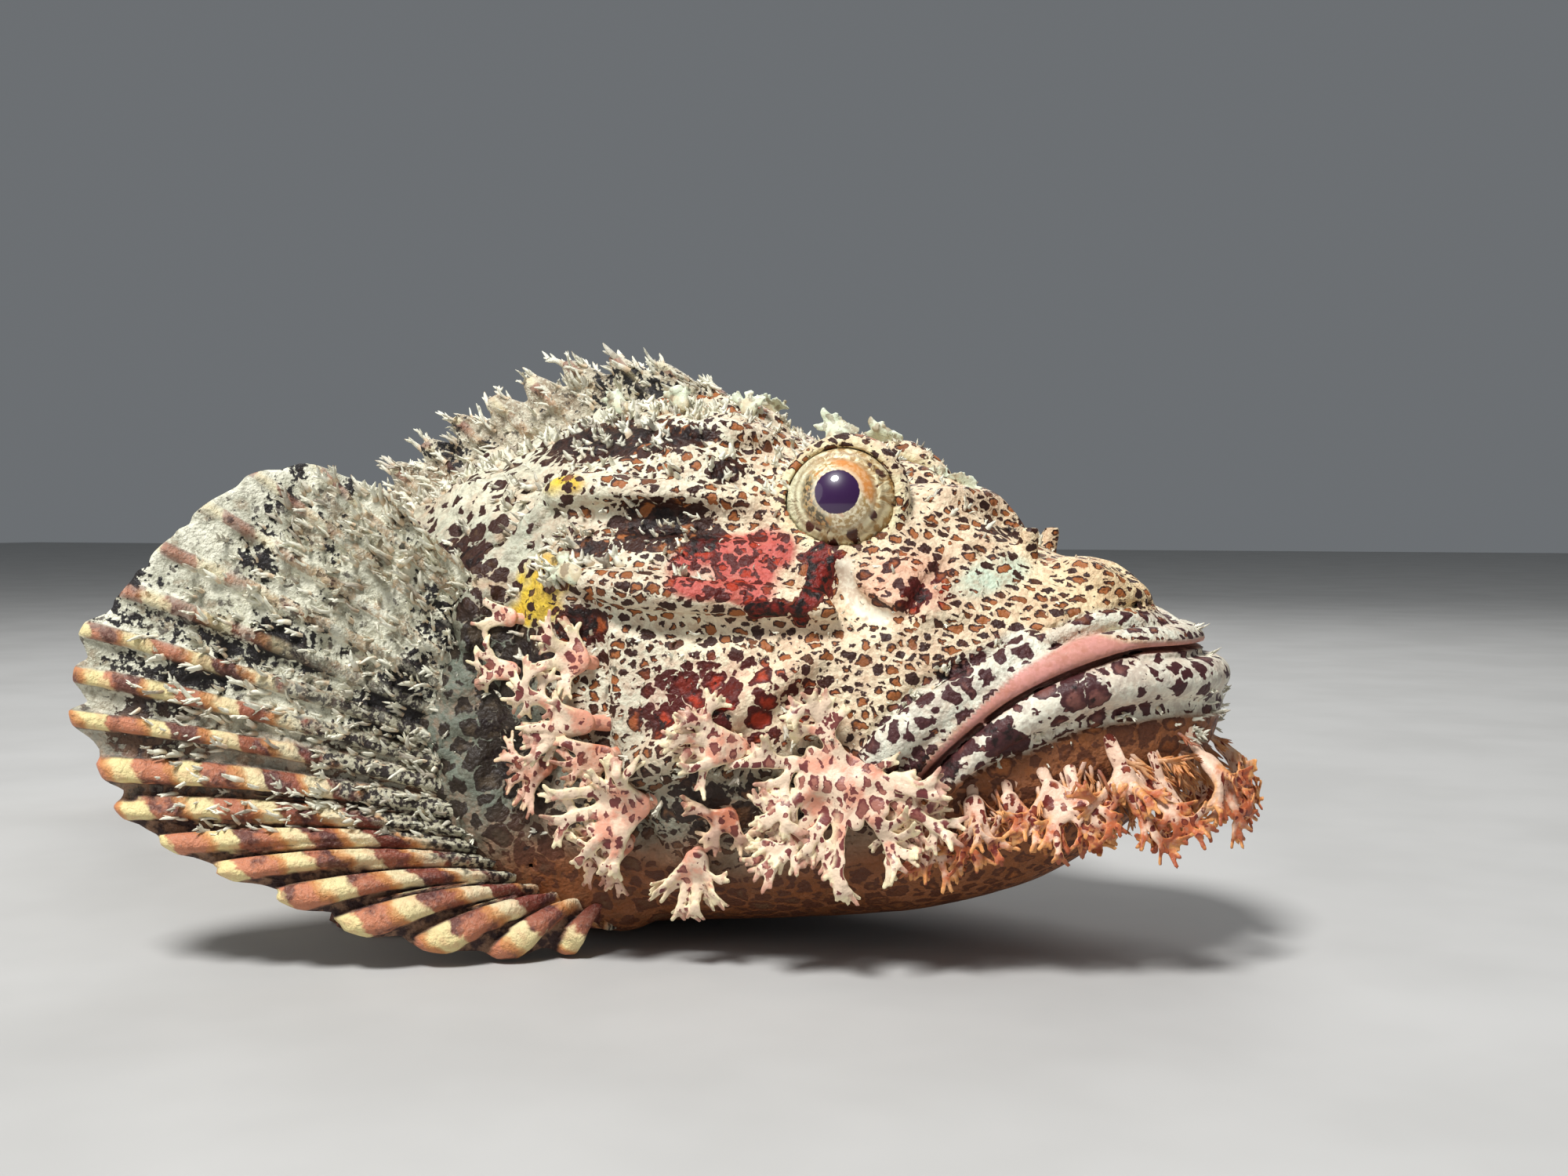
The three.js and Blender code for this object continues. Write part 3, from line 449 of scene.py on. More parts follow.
def cut_mouth(f, wide=0.42, deep=2.2):
    """Cuts the slit of the mouth into the skin, not through the head."""
    line = smooth_line(MOUTH_LINE, 40)
    x, z = f.lines[0][:, None], f.lines[2][None, :]
    gap = np.full((len(f.lines[0]), len(f.lines[2])), FAR, np.float32)
    for a, b in zip(line[:-1], line[1:]):
        way = b - a
        t = np.clip(((x - a[0]) * way[0] + (z - a[1]) * way[1]) / (way @ way), 0, 1)
        away = np.hypot(x - a[0] - t * way[0], z - a[1] - t * way[1])
        gap = np.minimum(gap, away - wide)
    slit = np.maximum(gap[:, None, :], -f.value - deep)
    f.value = Field.join(f.value, slit, 0.35, -1)


def skin_field():
    """The left half of the skin. Its voxels grow longer towards the tail."""
    xs = [1.5]
    while xs[-1] > -238:
        xs.append(xs[-1] - VOXEL * (1 + step(-100, -170, xs[-1]) * 0.9))
    f = Field(xs[::-1], np.arange(0, 43, VOXEL), np.arange(-3, 93, VOXEL))
    f.value = body_distances(f)
    for places, radii, lift, soft in RIDGES:
        f.strand(on_side(places, lift), radii, soft)
    for places, radii, soft in RIMS:
        f.strand(places, radii, soft)
    for x0, x1, radius in CRESTS:
        back = np.linspace(x0, x1, 9)
        crest = read_table(STATIONS, back)[:, 0]
        f.strand(np.c_[back, 0 * back, crest - 0.6], [radius] * 9, 3)
    add_eye_and_nostrils(f)
    for places, radii, lift, soft in CREASES:
        f.strand(on_side(places, lift), radii, soft, -1)
    cut_mouth(f)
    return f


def smooth_normals(points, quads):
    """The outward direction at each point of a mesh of quads."""
    a, b, c, d = (points[quads[:, k]] for k in range(4))
    face = np.cross(c - a, d - b)
    normals = np.zeros_like(points)
    for k in range(4):
        for axis in range(3):
            normals[:, axis] += np.bincount(quads[:, k], face[:, axis], minlength=len(points))
    return unit(normals)


def quad_grid(rows, columns, closed=False):
    """Quads of a grid of points numbered along each row in turn. A closed one
    joins each row's end to its start."""
    i, j = np.meshgrid(np.arange(rows - 1), np.arange(columns - (not closed)), indexing="ij")
    a, b = i * columns + j, i * columns + (j + 1) % columns
    return np.stack([a, a + columns, b + columns, b], -1).reshape(-1, 4)


def make_mesh(name, points, material, *faces):
    """A mesh object in the part's frame from points of the bent design and one
    or more arrays of faces."""
    mesh = bpy.data.meshes.new(name)
    faces = [face for array in faces for face in array.tolist()]
    mesh.from_pydata(to_part(points).tolist(), [], faces)
    mesh.polygons.foreach_set("use_smooth", [True] * len(mesh.polygons))
    mesh.materials.append(material)
    mesh.validate()
    obj = bpy.data.objects.new(name, mesh)
    bpy.context.scene.collection.objects.link(obj)
    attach(obj, "root")
    return obj


def set_colour(obj, name, colours):
    """Stores a colour, or any three numbers, at every vertex."""
    layer = obj.data.attributes.new(name, "FLOAT_COLOR", "POINT")
    full = np.ones((len(colours), 4), np.float32)
    full[:, :3] = colours
    layer.data.foreach_set("color", full.ravel())


def set_map(obj, places):
    """Gives a piece a map named OFBake, with a place for each vertex."""
    layer = obj.data.uv_layers.new(name="OFBake")
    corner = np.zeros(len(obj.data.loops), np.int32)
    obj.data.loops.foreach_get("vertex_index", corner)
    layer.data.foreach_set("uv", places[corner].astype(np.float32).ravel())


def join_meshes(parts):
    """One set of points and quads from several."""
    starts = np.cumsum([0] + [len(p) for p, _ in parts])
    return (
        np.concatenate([p for p, _ in parts]),
        np.concatenate([quads + start for (_, quads), start in zip(parts, starts)]),
    )


# Materials


class Nodes:
    """A material's node tree, built from the inside out."""

    def __init__(self, name):
        self.material = bpy.data.materials.new(name)
        self.material.use_nodes = True
        self.tree = self.material.node_tree
        self.shader = self.tree.nodes["Principled BSDF"]
        self.place = self.add("ShaderNodeTexCoord").outputs["Object"]

    def add(self, kind, inputs=(), **settings):
        node = self.tree.nodes.new(kind)
        for key, value in settings.items():
            setattr(node, key, value)
        for key, value in dict(inputs).items():
            self.give(node.inputs[key], value)
        return node

    def give(self, socket, value):
        """Links an output to a socket, or sets the socket's own value."""
        if isinstance(value, bpy.types.NodeSocket):
            self.tree.links.new(value, socket)
        elif hasattr(socket.default_value, "__len__"):
            size = len(socket.default_value)
            socket.default_value = (list(value) + [1.0])[:size]
        else:
            socket.default_value = value

    def math(self, operation, a, b=0.0, c=0.0):
        return self.add("ShaderNodeMath", {0: a, 1: b, 2: c}, operation=operation).outputs[0]

    def times(self, a, b, plus=None):
        """a times b, plus a third value where one is given."""
        if plus is None:
            return self.math("MULTIPLY", a, b)
        return self.math("MULTIPLY_ADD", a, b, plus)

    def vector(self, operation, a, b=(0, 0, 0)):
        node = self.add("ShaderNodeVectorMath", {0: a}, operation=operation)
        self.give(node.inputs["Scale" if operation == "SCALE" else 1], b)
        return node.outputs["Value" if operation == "DOT_PRODUCT" else 0]

    def mix(self, factor, a, b):
        return self.add("ShaderNodeMix", {0: factor, 6: a, 7: b}, data_type="RGBA").outputs[2]

    def rise(self, value, low, high, start=0.0, end=1.0):
        """A smooth rise of value from start at low to end at high."""
        values = {0: value, 1: low, 2: high, 3: start, 4: end}
        return self.add("ShaderNodeMapRange", values, interpolation_type="SMOOTHSTEP").outputs[0]

    def wash(self, colour, over, value, low, high, most=1.0):
        """The colour with another over it, from none at low to most at high."""
        return self.mix(self.rise(value, low, high, 0.0, most), colour, over)

    def noise(self, scale, detail=2.0, output="Fac"):
        """Noise that varies over 1 / scale millimetres."""
        values = {"Vector": self.place, "Scale": scale / MM, "Detail": detail, "Roughness": 0.55}
        return self.add("ShaderNodeTexNoise", values).outputs[output]

    def read(self, name):
        return self.add("ShaderNodeAttribute", attribute_name=name).outputs["Color"]

    def split(self, colour):
        return self.add("ShaderNodeSeparateColor", {0: colour}).outputs[:3]

    def warped(self, scale, amount):
        """The place in space, moved about by noise, for ragged edges."""
        shift = self.vector("SUBTRACT", self.noise(scale, 2.0, "Color"), (0.5,) * 3)
        return self.vector("ADD", self.place, self.vector("SCALE", shift, amount * MM))

    def spots(self, cell, gap, vary, place, stretch=(1, 1, 1), amount=1.0):
        """Ragged spots, one in each of a scatter of cells about cell millimetres
        wide: how dark a place is, and how much of a spot's lighter core shows.
        A spot stays gap from its cell's edge, and up to vary more in some cells."""
        moved = self.vector("MULTIPLY", place, stretch)
        settings = {"Vector": moved, "Scale": 1 / (cell * MM), "Randomness": 0.9}
        node = self.add("ShaderNodeTexVoronoi", settings)
        border = self.add("ShaderNodeTexVoronoi", settings, feature="DISTANCE_TO_EDGE")
        red, green, _ = self.split(node.outputs["Color"])
        keep = self.times(red, vary, gap)
        wavy = self.times(self.noise(1.9 / cell, 3.0), 0.42, -0.21)
        depth = self.math("SUBTRACT", border.outputs["Distance"], keep)
        limit = self.times(keep, -1.2, 0.72)
        round_depth = self.math("SUBTRACT", limit, node.outputs["Distance"])
        depth = self.math("SMOOTH_MIN", depth, round_depth, 0.12)
        depth = self.math("ADD", depth, wavy)
        depth = self.math("ADD", depth, self.rise(amount, 0.15, 0.65, -0.6, 0.0))
        inside = self.rise(depth, -0.01, 0.03)
        # The core sits towards the spot's upper side
        from_middle = self.vector("SUBTRACT", moved, node.outputs["Position"])
        lean = tuple(k / (cell * MM) for k in (0.1, 0.05, -0.17))
        depth = self.math("ADD", depth, self.vector("DOT_PRODUCT", from_middle, lean))
        core = self.rise(depth, 0.037 * cell, 0.1 * cell)
        return inside, self.times(core, self.rise(green, 0.25, 0.65))

    def bump(self, height, distance, strength=1.0):
        values = {"Height": height, "Distance": distance * MM, "Strength": strength}
        return self.add("ShaderNodeBump", values).outputs[0]

    def finish(self, colour, roughness=0.5, normal=None, **plain):
        self.give(self.shader.inputs["Base Color"], colour)
        self.give(self.shader.inputs["Roughness"], roughness)
        if normal is not None:
            self.give(self.shader.inputs["Normal"], normal)
        for key, value in plain.items():
            self.give(self.shader.inputs[key.replace("_", " ")], value)
        return self.material


def skin_material():
    """Cream skin with ragged ring spots. The vertices say where the ground, the
    fine and coarse spots and the blotches are, and what colour they have."""
    n = Nodes("skin_spotted")
    ground, ink, core_colour = (n.read(name) for name in ("ground", "ink", "core"))
    fine, coarse, blotch = n.split(n.read("marks"))
    relief, _, streaky = n.split(n.read("form"))
    cloud = n.noise(0.12, 4.0)
    mottle = n.noise(0.5, 4.0)
    grain = n.noise(1.6, 3.0)
    light = n.vector("SCALE", ground, 1.16)
    warm = n.mix(0.62, (0.48, 0.20, 0.10), ground)
    veil = n.mix(0.5, ground, core_colour)
    colour = n.wash(ground, light, cloud, 0.47, 0.62)
    colour = n.wash(colour, warm, cloud, 0.52, 0.4, 0.75)
    colour = n.wash(colour, warm, mottle, 0.48, 0.36, 0.5)
    colour = n.wash(colour, veil, mottle, 0.46, 0.6, 0.7)
    colour = n.wash(colour, light, grain, 0.45, 0.7, 0.6)
    grown = n.times(blotch, -0.32, 0.11)
    coarse = n.math("MAXIMUM", coarse, n.rise(blotch, 0.1, 0.35))
    plain = n.times(fine, n.rise(streaky, 0.55, 0.4))
    streaked = n.times(fine, n.rise(streaky, 0.45, 0.6))
    for cell, gap, vary, place, stretch, amount in (
        (1.9, 0.015, 0.22, n.warped(0.8, 1.3), (0.85, 1, 1.1), plain),
        (1.7, 0.02, 0.19, n.warped(0.9, 0.9), (0.65, 0.85, 1.2), streaked),
        (3.4, grown, 0.13, n.warped(0.5, 2.2), (1, 1, 1), coarse),
    ):
        inside, core = n.spots(cell, gap, vary, place, stretch, amount)
        colour = n.mix(inside, colour, n.mix(n.times(core, 0.9), ink, core_colour))
    edge = n.times(n.noise(0.42, 5.0), 1.6, n.math("SUBTRACT", blotch, 1.05))
    dark = n.wash((0.012, 0.005, 0.004), ink, n.noise(0.7, 3.0), 0.42, 0.62)
    colour = n.wash(colour, dark, edge, 0.44, 0.56)
    pits = n.add("ShaderNodeTexVoronoi", {"Vector": n.place, "Scale": 1 / (0.75 * MM)})
    height = n.times(pits.outputs["Distance"], -0.5, grain)
    height = n.times(mottle, 1.2, height)
    normal = n.bump(n.times(height, relief), 0.3)
    return n.finish(colour, n.rise(grain, 0.3, 0.7, 0.42, 0.62), normal, Specular_IOR_Level=0.3)


def tassel_material(name, pale, pink, spot, tip, cell=1.9, spotted=1.0, lean=-0.32):
    """Lobed skin with small dark spots and a pale rim, pinker towards the root, or
    towards the tips where lean is above 0."""
    n = Nodes(name)
    along, shade, flat = n.split(n.read("form"))
    cloud = n.noise(0.3, 3.0)
    colour = n.wash(pale, pink, n.times(along, lean, cloud), 0.46 + lean / 2, 0.66 + lean / 2)
    colour = n.wash(colour, n.mix(0.4, pale, spot), n.noise(1.3, 3.0), 0.5, 0.68, 0.4)
    inside, core = n.spots(cell, 0.06, 0.17, n.warped(0.8, 1.4), (1, 1.2, 0.75))
    dot = n.mix(n.times(core, 0.6), spot, n.mix(0.55, spot, pink))
    keep = n.times(n.rise(along, 1.0, 0.85, 0, spotted), n.rise(flat, 0.25, 0.6))
    colour = n.mix(n.times(inside, keep), colour, dot)
    rim = n.times(n.rise(flat, 0.6, 0.2), n.rise(along, 0.2, 0.5, 0, 0.7))
    colour = n.mix(rim, colour, tip)
    ends = n.wash(tip, n.mix(0.5, pink, spot), cloud, 0.47, 0.55)
    colour = n.wash(colour, ends, along, 0.85, 1.0, 0.8)
    colour = n.mix(n.times(shade, 0.8), colour, spot)
    return n.finish(colour, 0.45, n.bump(n.noise(1.8, 3.0), 0.18, 0.8), Specular_IOR_Level=0.45)


SKIN = skin_material()

# Tassels and flaps, each with pale, pink, spot and tip colours
TASSEL = tassel_material(
    "skin_tassel", (0.86, 0.66, 0.48), (0.80, 0.36, 0.24), (0.17, 0.035, 0.032),
    (0.90, 0.78, 0.48),
)
TASSEL_CHIN = tassel_material(
    "skin_tassel_chin", (0.84, 0.58, 0.42), (0.56, 0.14, 0.05), (0.15, 0.016, 0.009),
    (0.80, 0.38, 0.12), lean=0.4,
)
TASSEL_THROAT = tassel_material(
    "skin_tassel_throat", (0.80, 0.52, 0.38), (0.58, 0.20, 0.11), (0.14, 0.025, 0.018),
    (0.84, 0.62, 0.38),
)
CIRRI = tassel_material(
    "skin_flaps", (0.84, 0.81, 0.64), (0.70, 0.54, 0.36), (0.15, 0.08, 0.045),
    (0.88, 0.87, 0.72), 2.0, 0.6,
)
FLAP_PALE = tassel_material(
    "skin_flap_pale", (0.64, 0.69, 0.50), (0.60, 0.50, 0.32), (0.16, 0.09, 0.05),
    (0.72, 0.77, 0.60), 2.0, 0.6,
)

# Skin piece. Colours are linear red, green and blue: the ground's first, then
# the spots' and then their cores'

PALE = (0.79, 0.66, 0.46)
YELLOWISH = (0.78, 0.61, 0.34)
TEAL = (0.62, 0.66, 0.54)
GREY_GREEN = (0.36, 0.38, 0.29)
TAN = (0.46, 0.33, 0.20)
# Painted shade: TAN darkened to three quarters for the belly's underside
PAINTED_BELLY_SHADE = (0.345, 0.2475, 0.15)
# Painted shade: the dark ground put on the lower cheek and behind the gill cover, where shadow falls
PAINTED_SHADE = (0.11, 0.13, 0.10)
NAPE_CREAM = (0.78, 0.76, 0.58)
ORANGE_BROWN = (0.20, 0.058, 0.013)
JAW_WHITE = (0.72, 0.69, 0.56)
LIP_WHITE = (0.6984, 0.69, 0.56)
PINK = (0.58, 0.26, 0.22)
ROSE = (0.50, 0.105, 0.085)
KNOB_PINK = (0.70, 0.40, 0.27)
YELLOW = (0.70, 0.50, 0.05)
WHITE = (0.82, 0.76, 0.60)
NOSTRIL_TEAL = (0.50, 0.66, 0.52)
LID_YELLOW = (0.70, 0.68, 0.40)

BROWN = (0.040, 0.013, 0.008)
RED_BROWN = (0.085, 0.006, 0.004)
PURPLE_BROWN = (0.060, 0.017, 0.018)
SHADE_INK = (0.022, 0.020, 0.014)
STREAK_RED = (0.21, 0.014, 0.008)
THROAT_INK = (0.11, 0.035, 0.015)

TAN_CORE = (0.38, 0.125, 0.035)
RED_CORE = (0.42, 0.035, 0.010)
BACK_CORE = (0.11, 0.06, 0.03)
SHADE_CORE = (0.07, 0.05, 0.03)
LIP_CORE = (0.20, 0.075, 0.06)

# Lines of markings on the side, as [x, z] places: the mouth's lower edge, the
# groove under the lower lip and the top of the pink band inside the mouth, all
# from back to front, and the others
MOUTH_EDGE = [[-48, 21], [-43, 28], [-36, 35.5], [-27, 42.5], [-14, 48], [-3, 48.3]]
LIP_GROOVE = [[-45, 25], [-39.5, 29], [-34.5, 31.4], [-30.3, 33.8], [-25.3, 35], [-20.5, 37.4],
              [-15.6, 38.4], [-9.8, 39], [-3, 39.2]]
PINK_TOP = [[-44, 28], [-40, 33.4], [-33.6, 40.3], [-28.3, 45.6], [-21.4, 50], [-18.2, 50.9],
            [-13.6, 49.8], [-7, 49.6]]
UPPER_LIP = [[-6, 51], [-13.5, 51.9], [-17.8, 52.4], [-21.2, 51.4], [-27.7, 47.7], [-33, 43.1],
             [-39.4, 37.1], [-46, 30]]
UPPER_JAW = [[-29, 48.5], [-37, 43.4], [-43.5, 38.5], [-48, 32]]
RED_STREAK = [[-58.4, 62.5], [-57.8, 59], [-58, 55.8], [-59.2, 54.2]]
WHITE_CRESCENT = [[-54.8, 60.5], [-54, 56.8], [-51, 53.8], [-48.4, 53.1]]

# Dark blotches: x, z, half width, half height and how dark
BLOTCHES = (
    # Behind the eye, on the temple and on the nape
    (-83, 66.5, 7, 3.4, 1), (-76, 63.8, 3, 2, 1), (-93, 63, 4, 1.4, 0.9),
    (-74.8, 74.8, 2.2, 1.8, 1), (-97, 80, 15, 3.2, 1), (-84, 80.5, 7, 1.8, 0.9),
    # Gill cover and cheek
    (-93.9, 51.5, 5, 2.8, 1), (-101, 46.5, 8, 4, 0.8), (-109, 50, 5, 6, 0.7),
    (-106, 34, 5, 9, 0.75), (-70, 40.5, 12, 6, 0.52), (-80, 38, 4, 2.4, 0.75),
    # Snout, jaws and the knob ahead of the cheek
    (-34, 66.5, 3, 2.4, 0.6), (-30.5, 36.5, 4, 2.6, 0.75), (-39, 31.5, 4, 3, 0.9),
    (-19, 43, 4.5, 2.6, 0.6), (-38, 45.5, 3, 1.6, 1), (-43, 56.4, 1.7, 1.6, 1),
    (-49, 54.4, 2, 1, 0.95),
    # Body, tail stem and belly
    (-118, 60, 9, 5, 0.8), (-128, 42, 8, 10, 0.6), (-140, 58, 8, 5, 0.7),
    (-150, 34, 8, 8, 0.6), (-163, 46, 6, 6, 0.7), (-180, 28, 7, 8, 0.8),
    (-200, 34, 6, 5, 0.8), (-218, 24, 5, 10, 0.8), (-124, 22, 9, 7, 0.6),
    (-100, 20, 7, 5, 0.6), (-70, 25, 9, 5, 0.55),
)


def blob(p, x, z, rx, rz, soft=0.35):
    """1 inside an oval place on either side, falling to 0 outside it."""
    r2 = ((p[:, 0] - x) / rx) ** 2 + ((p[:, 2] - z) / rz) ** 2
    return step(1 + soft, 1 - soft, np.sqrt(r2))


def along_line(p, places, radius, soft=0.4, least_y=6):
    """1 along a line of [x, z] places, least_y or more from the midline."""
    line = smooth_line(places, 8 * len(places))
    away = np.full(len(p), 99.0)
    q = p[:, [0, 2]]
    for a, b in zip(line[:-1], line[1:]):
        way = b - a
        t = np.clip(((q - a) @ way) / (way @ way), 0, 1)
        away = np.minimum(away, np.linalg.norm(q - a - t[:, None] * way, axis=1))
    return step(radius * (1 + soft), radius * (1 - soft), away) * (np.abs(p[:, 1]) >= least_y)


def height_on(line, x):
    """The height at each x of a line of [x, z] places from back to front."""
    return np.interp(x, *np.transpose(line))


def broken_up(place, by, low, high):
    """A soft-edged place with noise in it, cut off where it falls from high to low."""
    return np.clip(place + by, 0, 1) * step(low, high, place)


def washed(colour, washes, count):
    """A colour at every vertex, with other colours over it by each one's amount."""
    colour = np.tile(colour, (count, 1))
    for over, amount in washes:
        colour = colour + (np.array(over) - colour) * amount[:, None]
    return colour


def skin_regions(p):
    """How far each vertex lies in each marked region, and in the places that get painted shade, from 0
    to 1, with the places in the straight frame."""
    x, _, z = p.T
    wide = noise(p, 9, 1)
    narrow = noise(p, 4, 2)
    # Painted shade: the lower cheek and throat behind the mouth are darkened from about 40 mm down,
    # and so is the side behind the gill cover, above the pectoral fin's root
    shade = step(40, 27, z + wide * 5) * step(-42, -56, x) * 0.75
    shade_behind_gill = step(-94, -101, x + wide * 3) * step(60, 48, z + wide * 4) * 0.9
    belly = step(24, 14, z + wide * 4 - step(-70, -30, x) * 3)
    over_groove = z - height_on(LIP_GROOVE, x) + wide * 0.8
    throat = step(0.6, -1, over_groove) * step(-52, -44, x)
    over_mouth = z - height_on(MOUTH_EDGE, x)
    jaw = step(1.2, -0.3, over_mouth) * step(-0.8, 0.2, over_groove) * step(-50, -46, x)
    upper = along_line(p, UPPER_LIP, 1.7, 0.3, 0)
    maxilla = along_line(p, UPPER_JAW, 3, 0.3)
    mouth = step(-0.4, 0.3, over_mouth) * step(-46, -42, x)
    mouth = mouth * step(0.4, -0.4, z - height_on(PINK_TOP, x))
    crescent = along_line(p, WHITE_CRESCENT, 1.35)
    rose = blob(p, -73, 60.3, 6.6, 4.8, 0.3) + blob(p, -66, 62.5, 4.4, 3.8)
    rose = rose + blob(p, -66, 57, 4, 2.4)
    yellow = blob(p, -99.5, 58, 5.5, 3.8, 0.6) + blob(p, -101, 53.5, 5, 2.6, 0.6)
    yellow = yellow + 0.6 * blob(p, -99, 72.5, 5, 2, 0.6)
    nostril = blob(p, -33.4, 59.6, 3.8, 2.6, 0.5) + 0.8 * blob(p, -36.5, 57.5, 3, 2, 0.5)
    moved = p + stack(narrow, 0 * narrow, noise(p, 3, 7)) * 1.5
    streak = along_line(moved, RED_STREAK, 1.7)
    streak = np.maximum(streak, blob(moved, -64, 54.8, 2.6, 1.3))
    eye_away = np.linalg.norm(p - EYE * np.where(p[:, 1:2] > 0, 1, MIRROR), axis=1)
    return SimpleNamespace(
        x=x, z=z, wide=wide, narrow=narrow, belly=belly, jaw=jaw, maxilla=maxilla, upper=upper,
        shade=np.maximum(shade, shade_behind_gill),
        nape=step(62, 72, z + wide * 4) * step(-66, -80, x) * step(-150, -125, x),
        low=np.maximum(belly, throat) * step(-128, -100, x),
        lips=np.clip(jaw + maxilla + upper, 0, 1),
        mouth=mouth, crescent=crescent, plain=np.maximum(mouth, crescent),
        knob=blob(p, -46, 57.8, 6.6, 4.8),
        rose=broken_up(rose, narrow * 0.6 + noise(p, 2.6, 11) * 0.7, 0.3, 0.6),
        yellow=broken_up(yellow, 0.7 * noise(p, 2.2, 9), 0.2, 0.5),
        nostril=broken_up(nostril, 0.5 * narrow, 0.1, 0.5),
        streak=np.maximum(streak, blob(moved, -58.4, 61.8, 3.4, 1.1)),
        cheek=blob(p, -70, 40.5, 12, 6, 0.25),
        lid=step(EYE_RADIUS + 2.4, EYE_RADIUS + 1, eye_away),
    )


def paint_skin(obj, p):
    """Stores the ground's colour with its painted shade, how much fine and coarse spotting and blotch
    there is, the colours of the spots and of their cores, and the relief."""
    r = skin_regions(p)
    x, z = r.x, r.z
    ground = washed(PALE, (
        (YELLOWISH, step(-42, -12, x) * step(44, 52, z) * 0.8),
        (TEAL, step(-60, -90, x + r.wide * 8) * 0.6),
        (GREY_GREEN, step(-96, -112, x + r.wide * 8) * 0.85),
        (TAN, step(-112, -150, x + r.wide * 16) * 0.5),
        (TAN, step(0.15, 0.5, r.narrow) * step(-98, -112, x) * 0.6),
        # painted shade on the lower cheek and behind the gill cover
        (PAINTED_SHADE, r.shade * step(-150, -125, x)),
        (NAPE_CREAM, r.nape * 0.7),
        (ORANGE_BROWN, r.low * 0.97),
        # painted shade on the belly's underside towards the tail
        (PAINTED_BELLY_SHADE, r.belly * step(-100, -128, x) * 0.8),
        (JAW_WHITE, r.jaw),
        (LIP_WHITE, np.maximum(r.upper, r.maxilla)),
        (ROSE, r.rose),
        (KNOB_PINK, r.knob * 0.8),
        (WHITE, r.crescent),
        (YELLOW, r.yellow),
        (PINK, r.mouth),
        (NOSTRIL_TEAL, r.nostril * 0.8),
        (LID_YELLOW, r.lid * 0.6),
    ), len(p))

    coarse = np.clip(r.cheek + r.lips + r.knob + r.rose * 0.75, 0, 1)
    coarse = np.maximum(coarse, step(-96, -106, x + 5 * r.wide) * 0.85)
    fine = 1 - coarse * 0.95 + r.lips * 0.4 + r.knob * 0.45 + r.rose * 0.4
    for less in (step(-100, -112, x) * 0.15, r.low * 0.9, r.nostril * 0.5, r.plain):
        fine = fine * (1 - less)
    coarse = coarse * (1 - r.plain)

    blotch = np.zeros(len(p))
    for *oval, amount in BLOTCHES:
        blotch = np.maximum(blotch, amount * blob(p, *oval, 0.6))
    for more in (r.streak * 1.5, r.lips * 0.12, 0.06 * step(-96, -110, x), 0.3 * r.low):
        blotch = np.maximum(blotch, more)
    blotch = blotch * (1 - np.maximum(r.plain, r.yellow))

    red = r.rose + r.streak + r.knob * 0.3 + blob(p, -70, 40.5, 13, 6.5, 0.4)
    red = red + blob(p, -42.5, 56, 3, 2.6) + 0.5 * blob(p, -93.9, 50, 6, 4)
    red = np.clip(red, 0, 1)
    ink = washed(BROWN, (
        (PURPLE_BROWN, np.maximum(r.jaw, np.maximum(r.maxilla, r.upper))),
        # the spots' ink and cores are darker where shade is painted
        (SHADE_INK, r.shade * 0.8),
        (RED_BROWN, red * 0.9),
        (STREAK_RED, r.streak),
        (THROAT_INK, r.low),
    ), len(p))
    core = washed(TAN_CORE, (
        (BACK_CORE, step(-92, -104, x)),
        (SHADE_CORE, r.shade),
        (RED_CORE, red),
        (LIP_CORE, np.maximum(r.jaw, r.maxilla)),
    ), len(p))
    relief = np.clip(1 - 0.85 * r.plain - 0.5 * r.jaw, 0.1, 1)
    streaky = step(-46, -36, x) * step(40, 46, z)
    for name, values in (
        ("ground", ground), ("marks", stack(fine, coarse, blotch)), ("ink", ink),
        ("core", core), ("form", stack(relief, 0 * relief, streaky)),
    ):
        set_colour(obj, name, values)


def skin_relief(p):
    """How far lumps and warts lift the skin, more so on the back and the crown."""
    x, _, z = p.T
    rough = np.maximum(step(-92, -112, x), step(70, 80, z) * step(-62, -84, x))
    calm = np.maximum(step(24, 14, z) * 0.7, along_line(p, MOUTH_LINE, 6, 0.3, 0))
    lift = 1.3 * noise(p, 7, 3) * (0.45 + 0.55 * rough)
    lift += 0.65 * noise(p, 2.6, 4) * (0.5 + 0.5 * rough)
    away, name = scattered_points(p, 3.1, 5)
    warty = name > 0.45
    lift += (0.35 + 0.75 * rough) * warty * np.clip(1 - away * 2, 0, 1) ** 1.3
    eye_away = np.linalg.norm(p * [1, 0, 1] + np.abs(p) * [0, 1, 0] - EYE, axis=1)
    lift *= (1 - calm) * (0.35 + 0.65 * rough)
    return lift * step(EYE_RADIUS + 0.2, EYE_RADIUS + 3, eye_away)


def make_skin():
    f = skin_field()
    f.lines[1] = np.r_[-f.lines[1][:0:-1], f.lines[1]]
    f.value = np.concatenate([f.value[:, :0:-1], f.value], 1)
    p, quads = f.surface()
    p = p + smooth_normals(p, quads) * skin_relief(p)[:, None]
    bent = bend(p)
    bent[:, 2] = np.maximum(bent[:, 2], FLOOR_GAP)
    obj = make_mesh("skin", bent, SKIN, quads)
    paint_skin(obj, p)
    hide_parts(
        "head", "lower_jaw", "gill_cover_left", "gill_cover_right",
        "torso", "tail_stem",
    )


make_skin()

# Eyes

PUPIL_FACING = unit([0.2, 0.95, 0.225])
PUPIL_RADIUS = 3.5
IRIS_RADIUS = 5.6


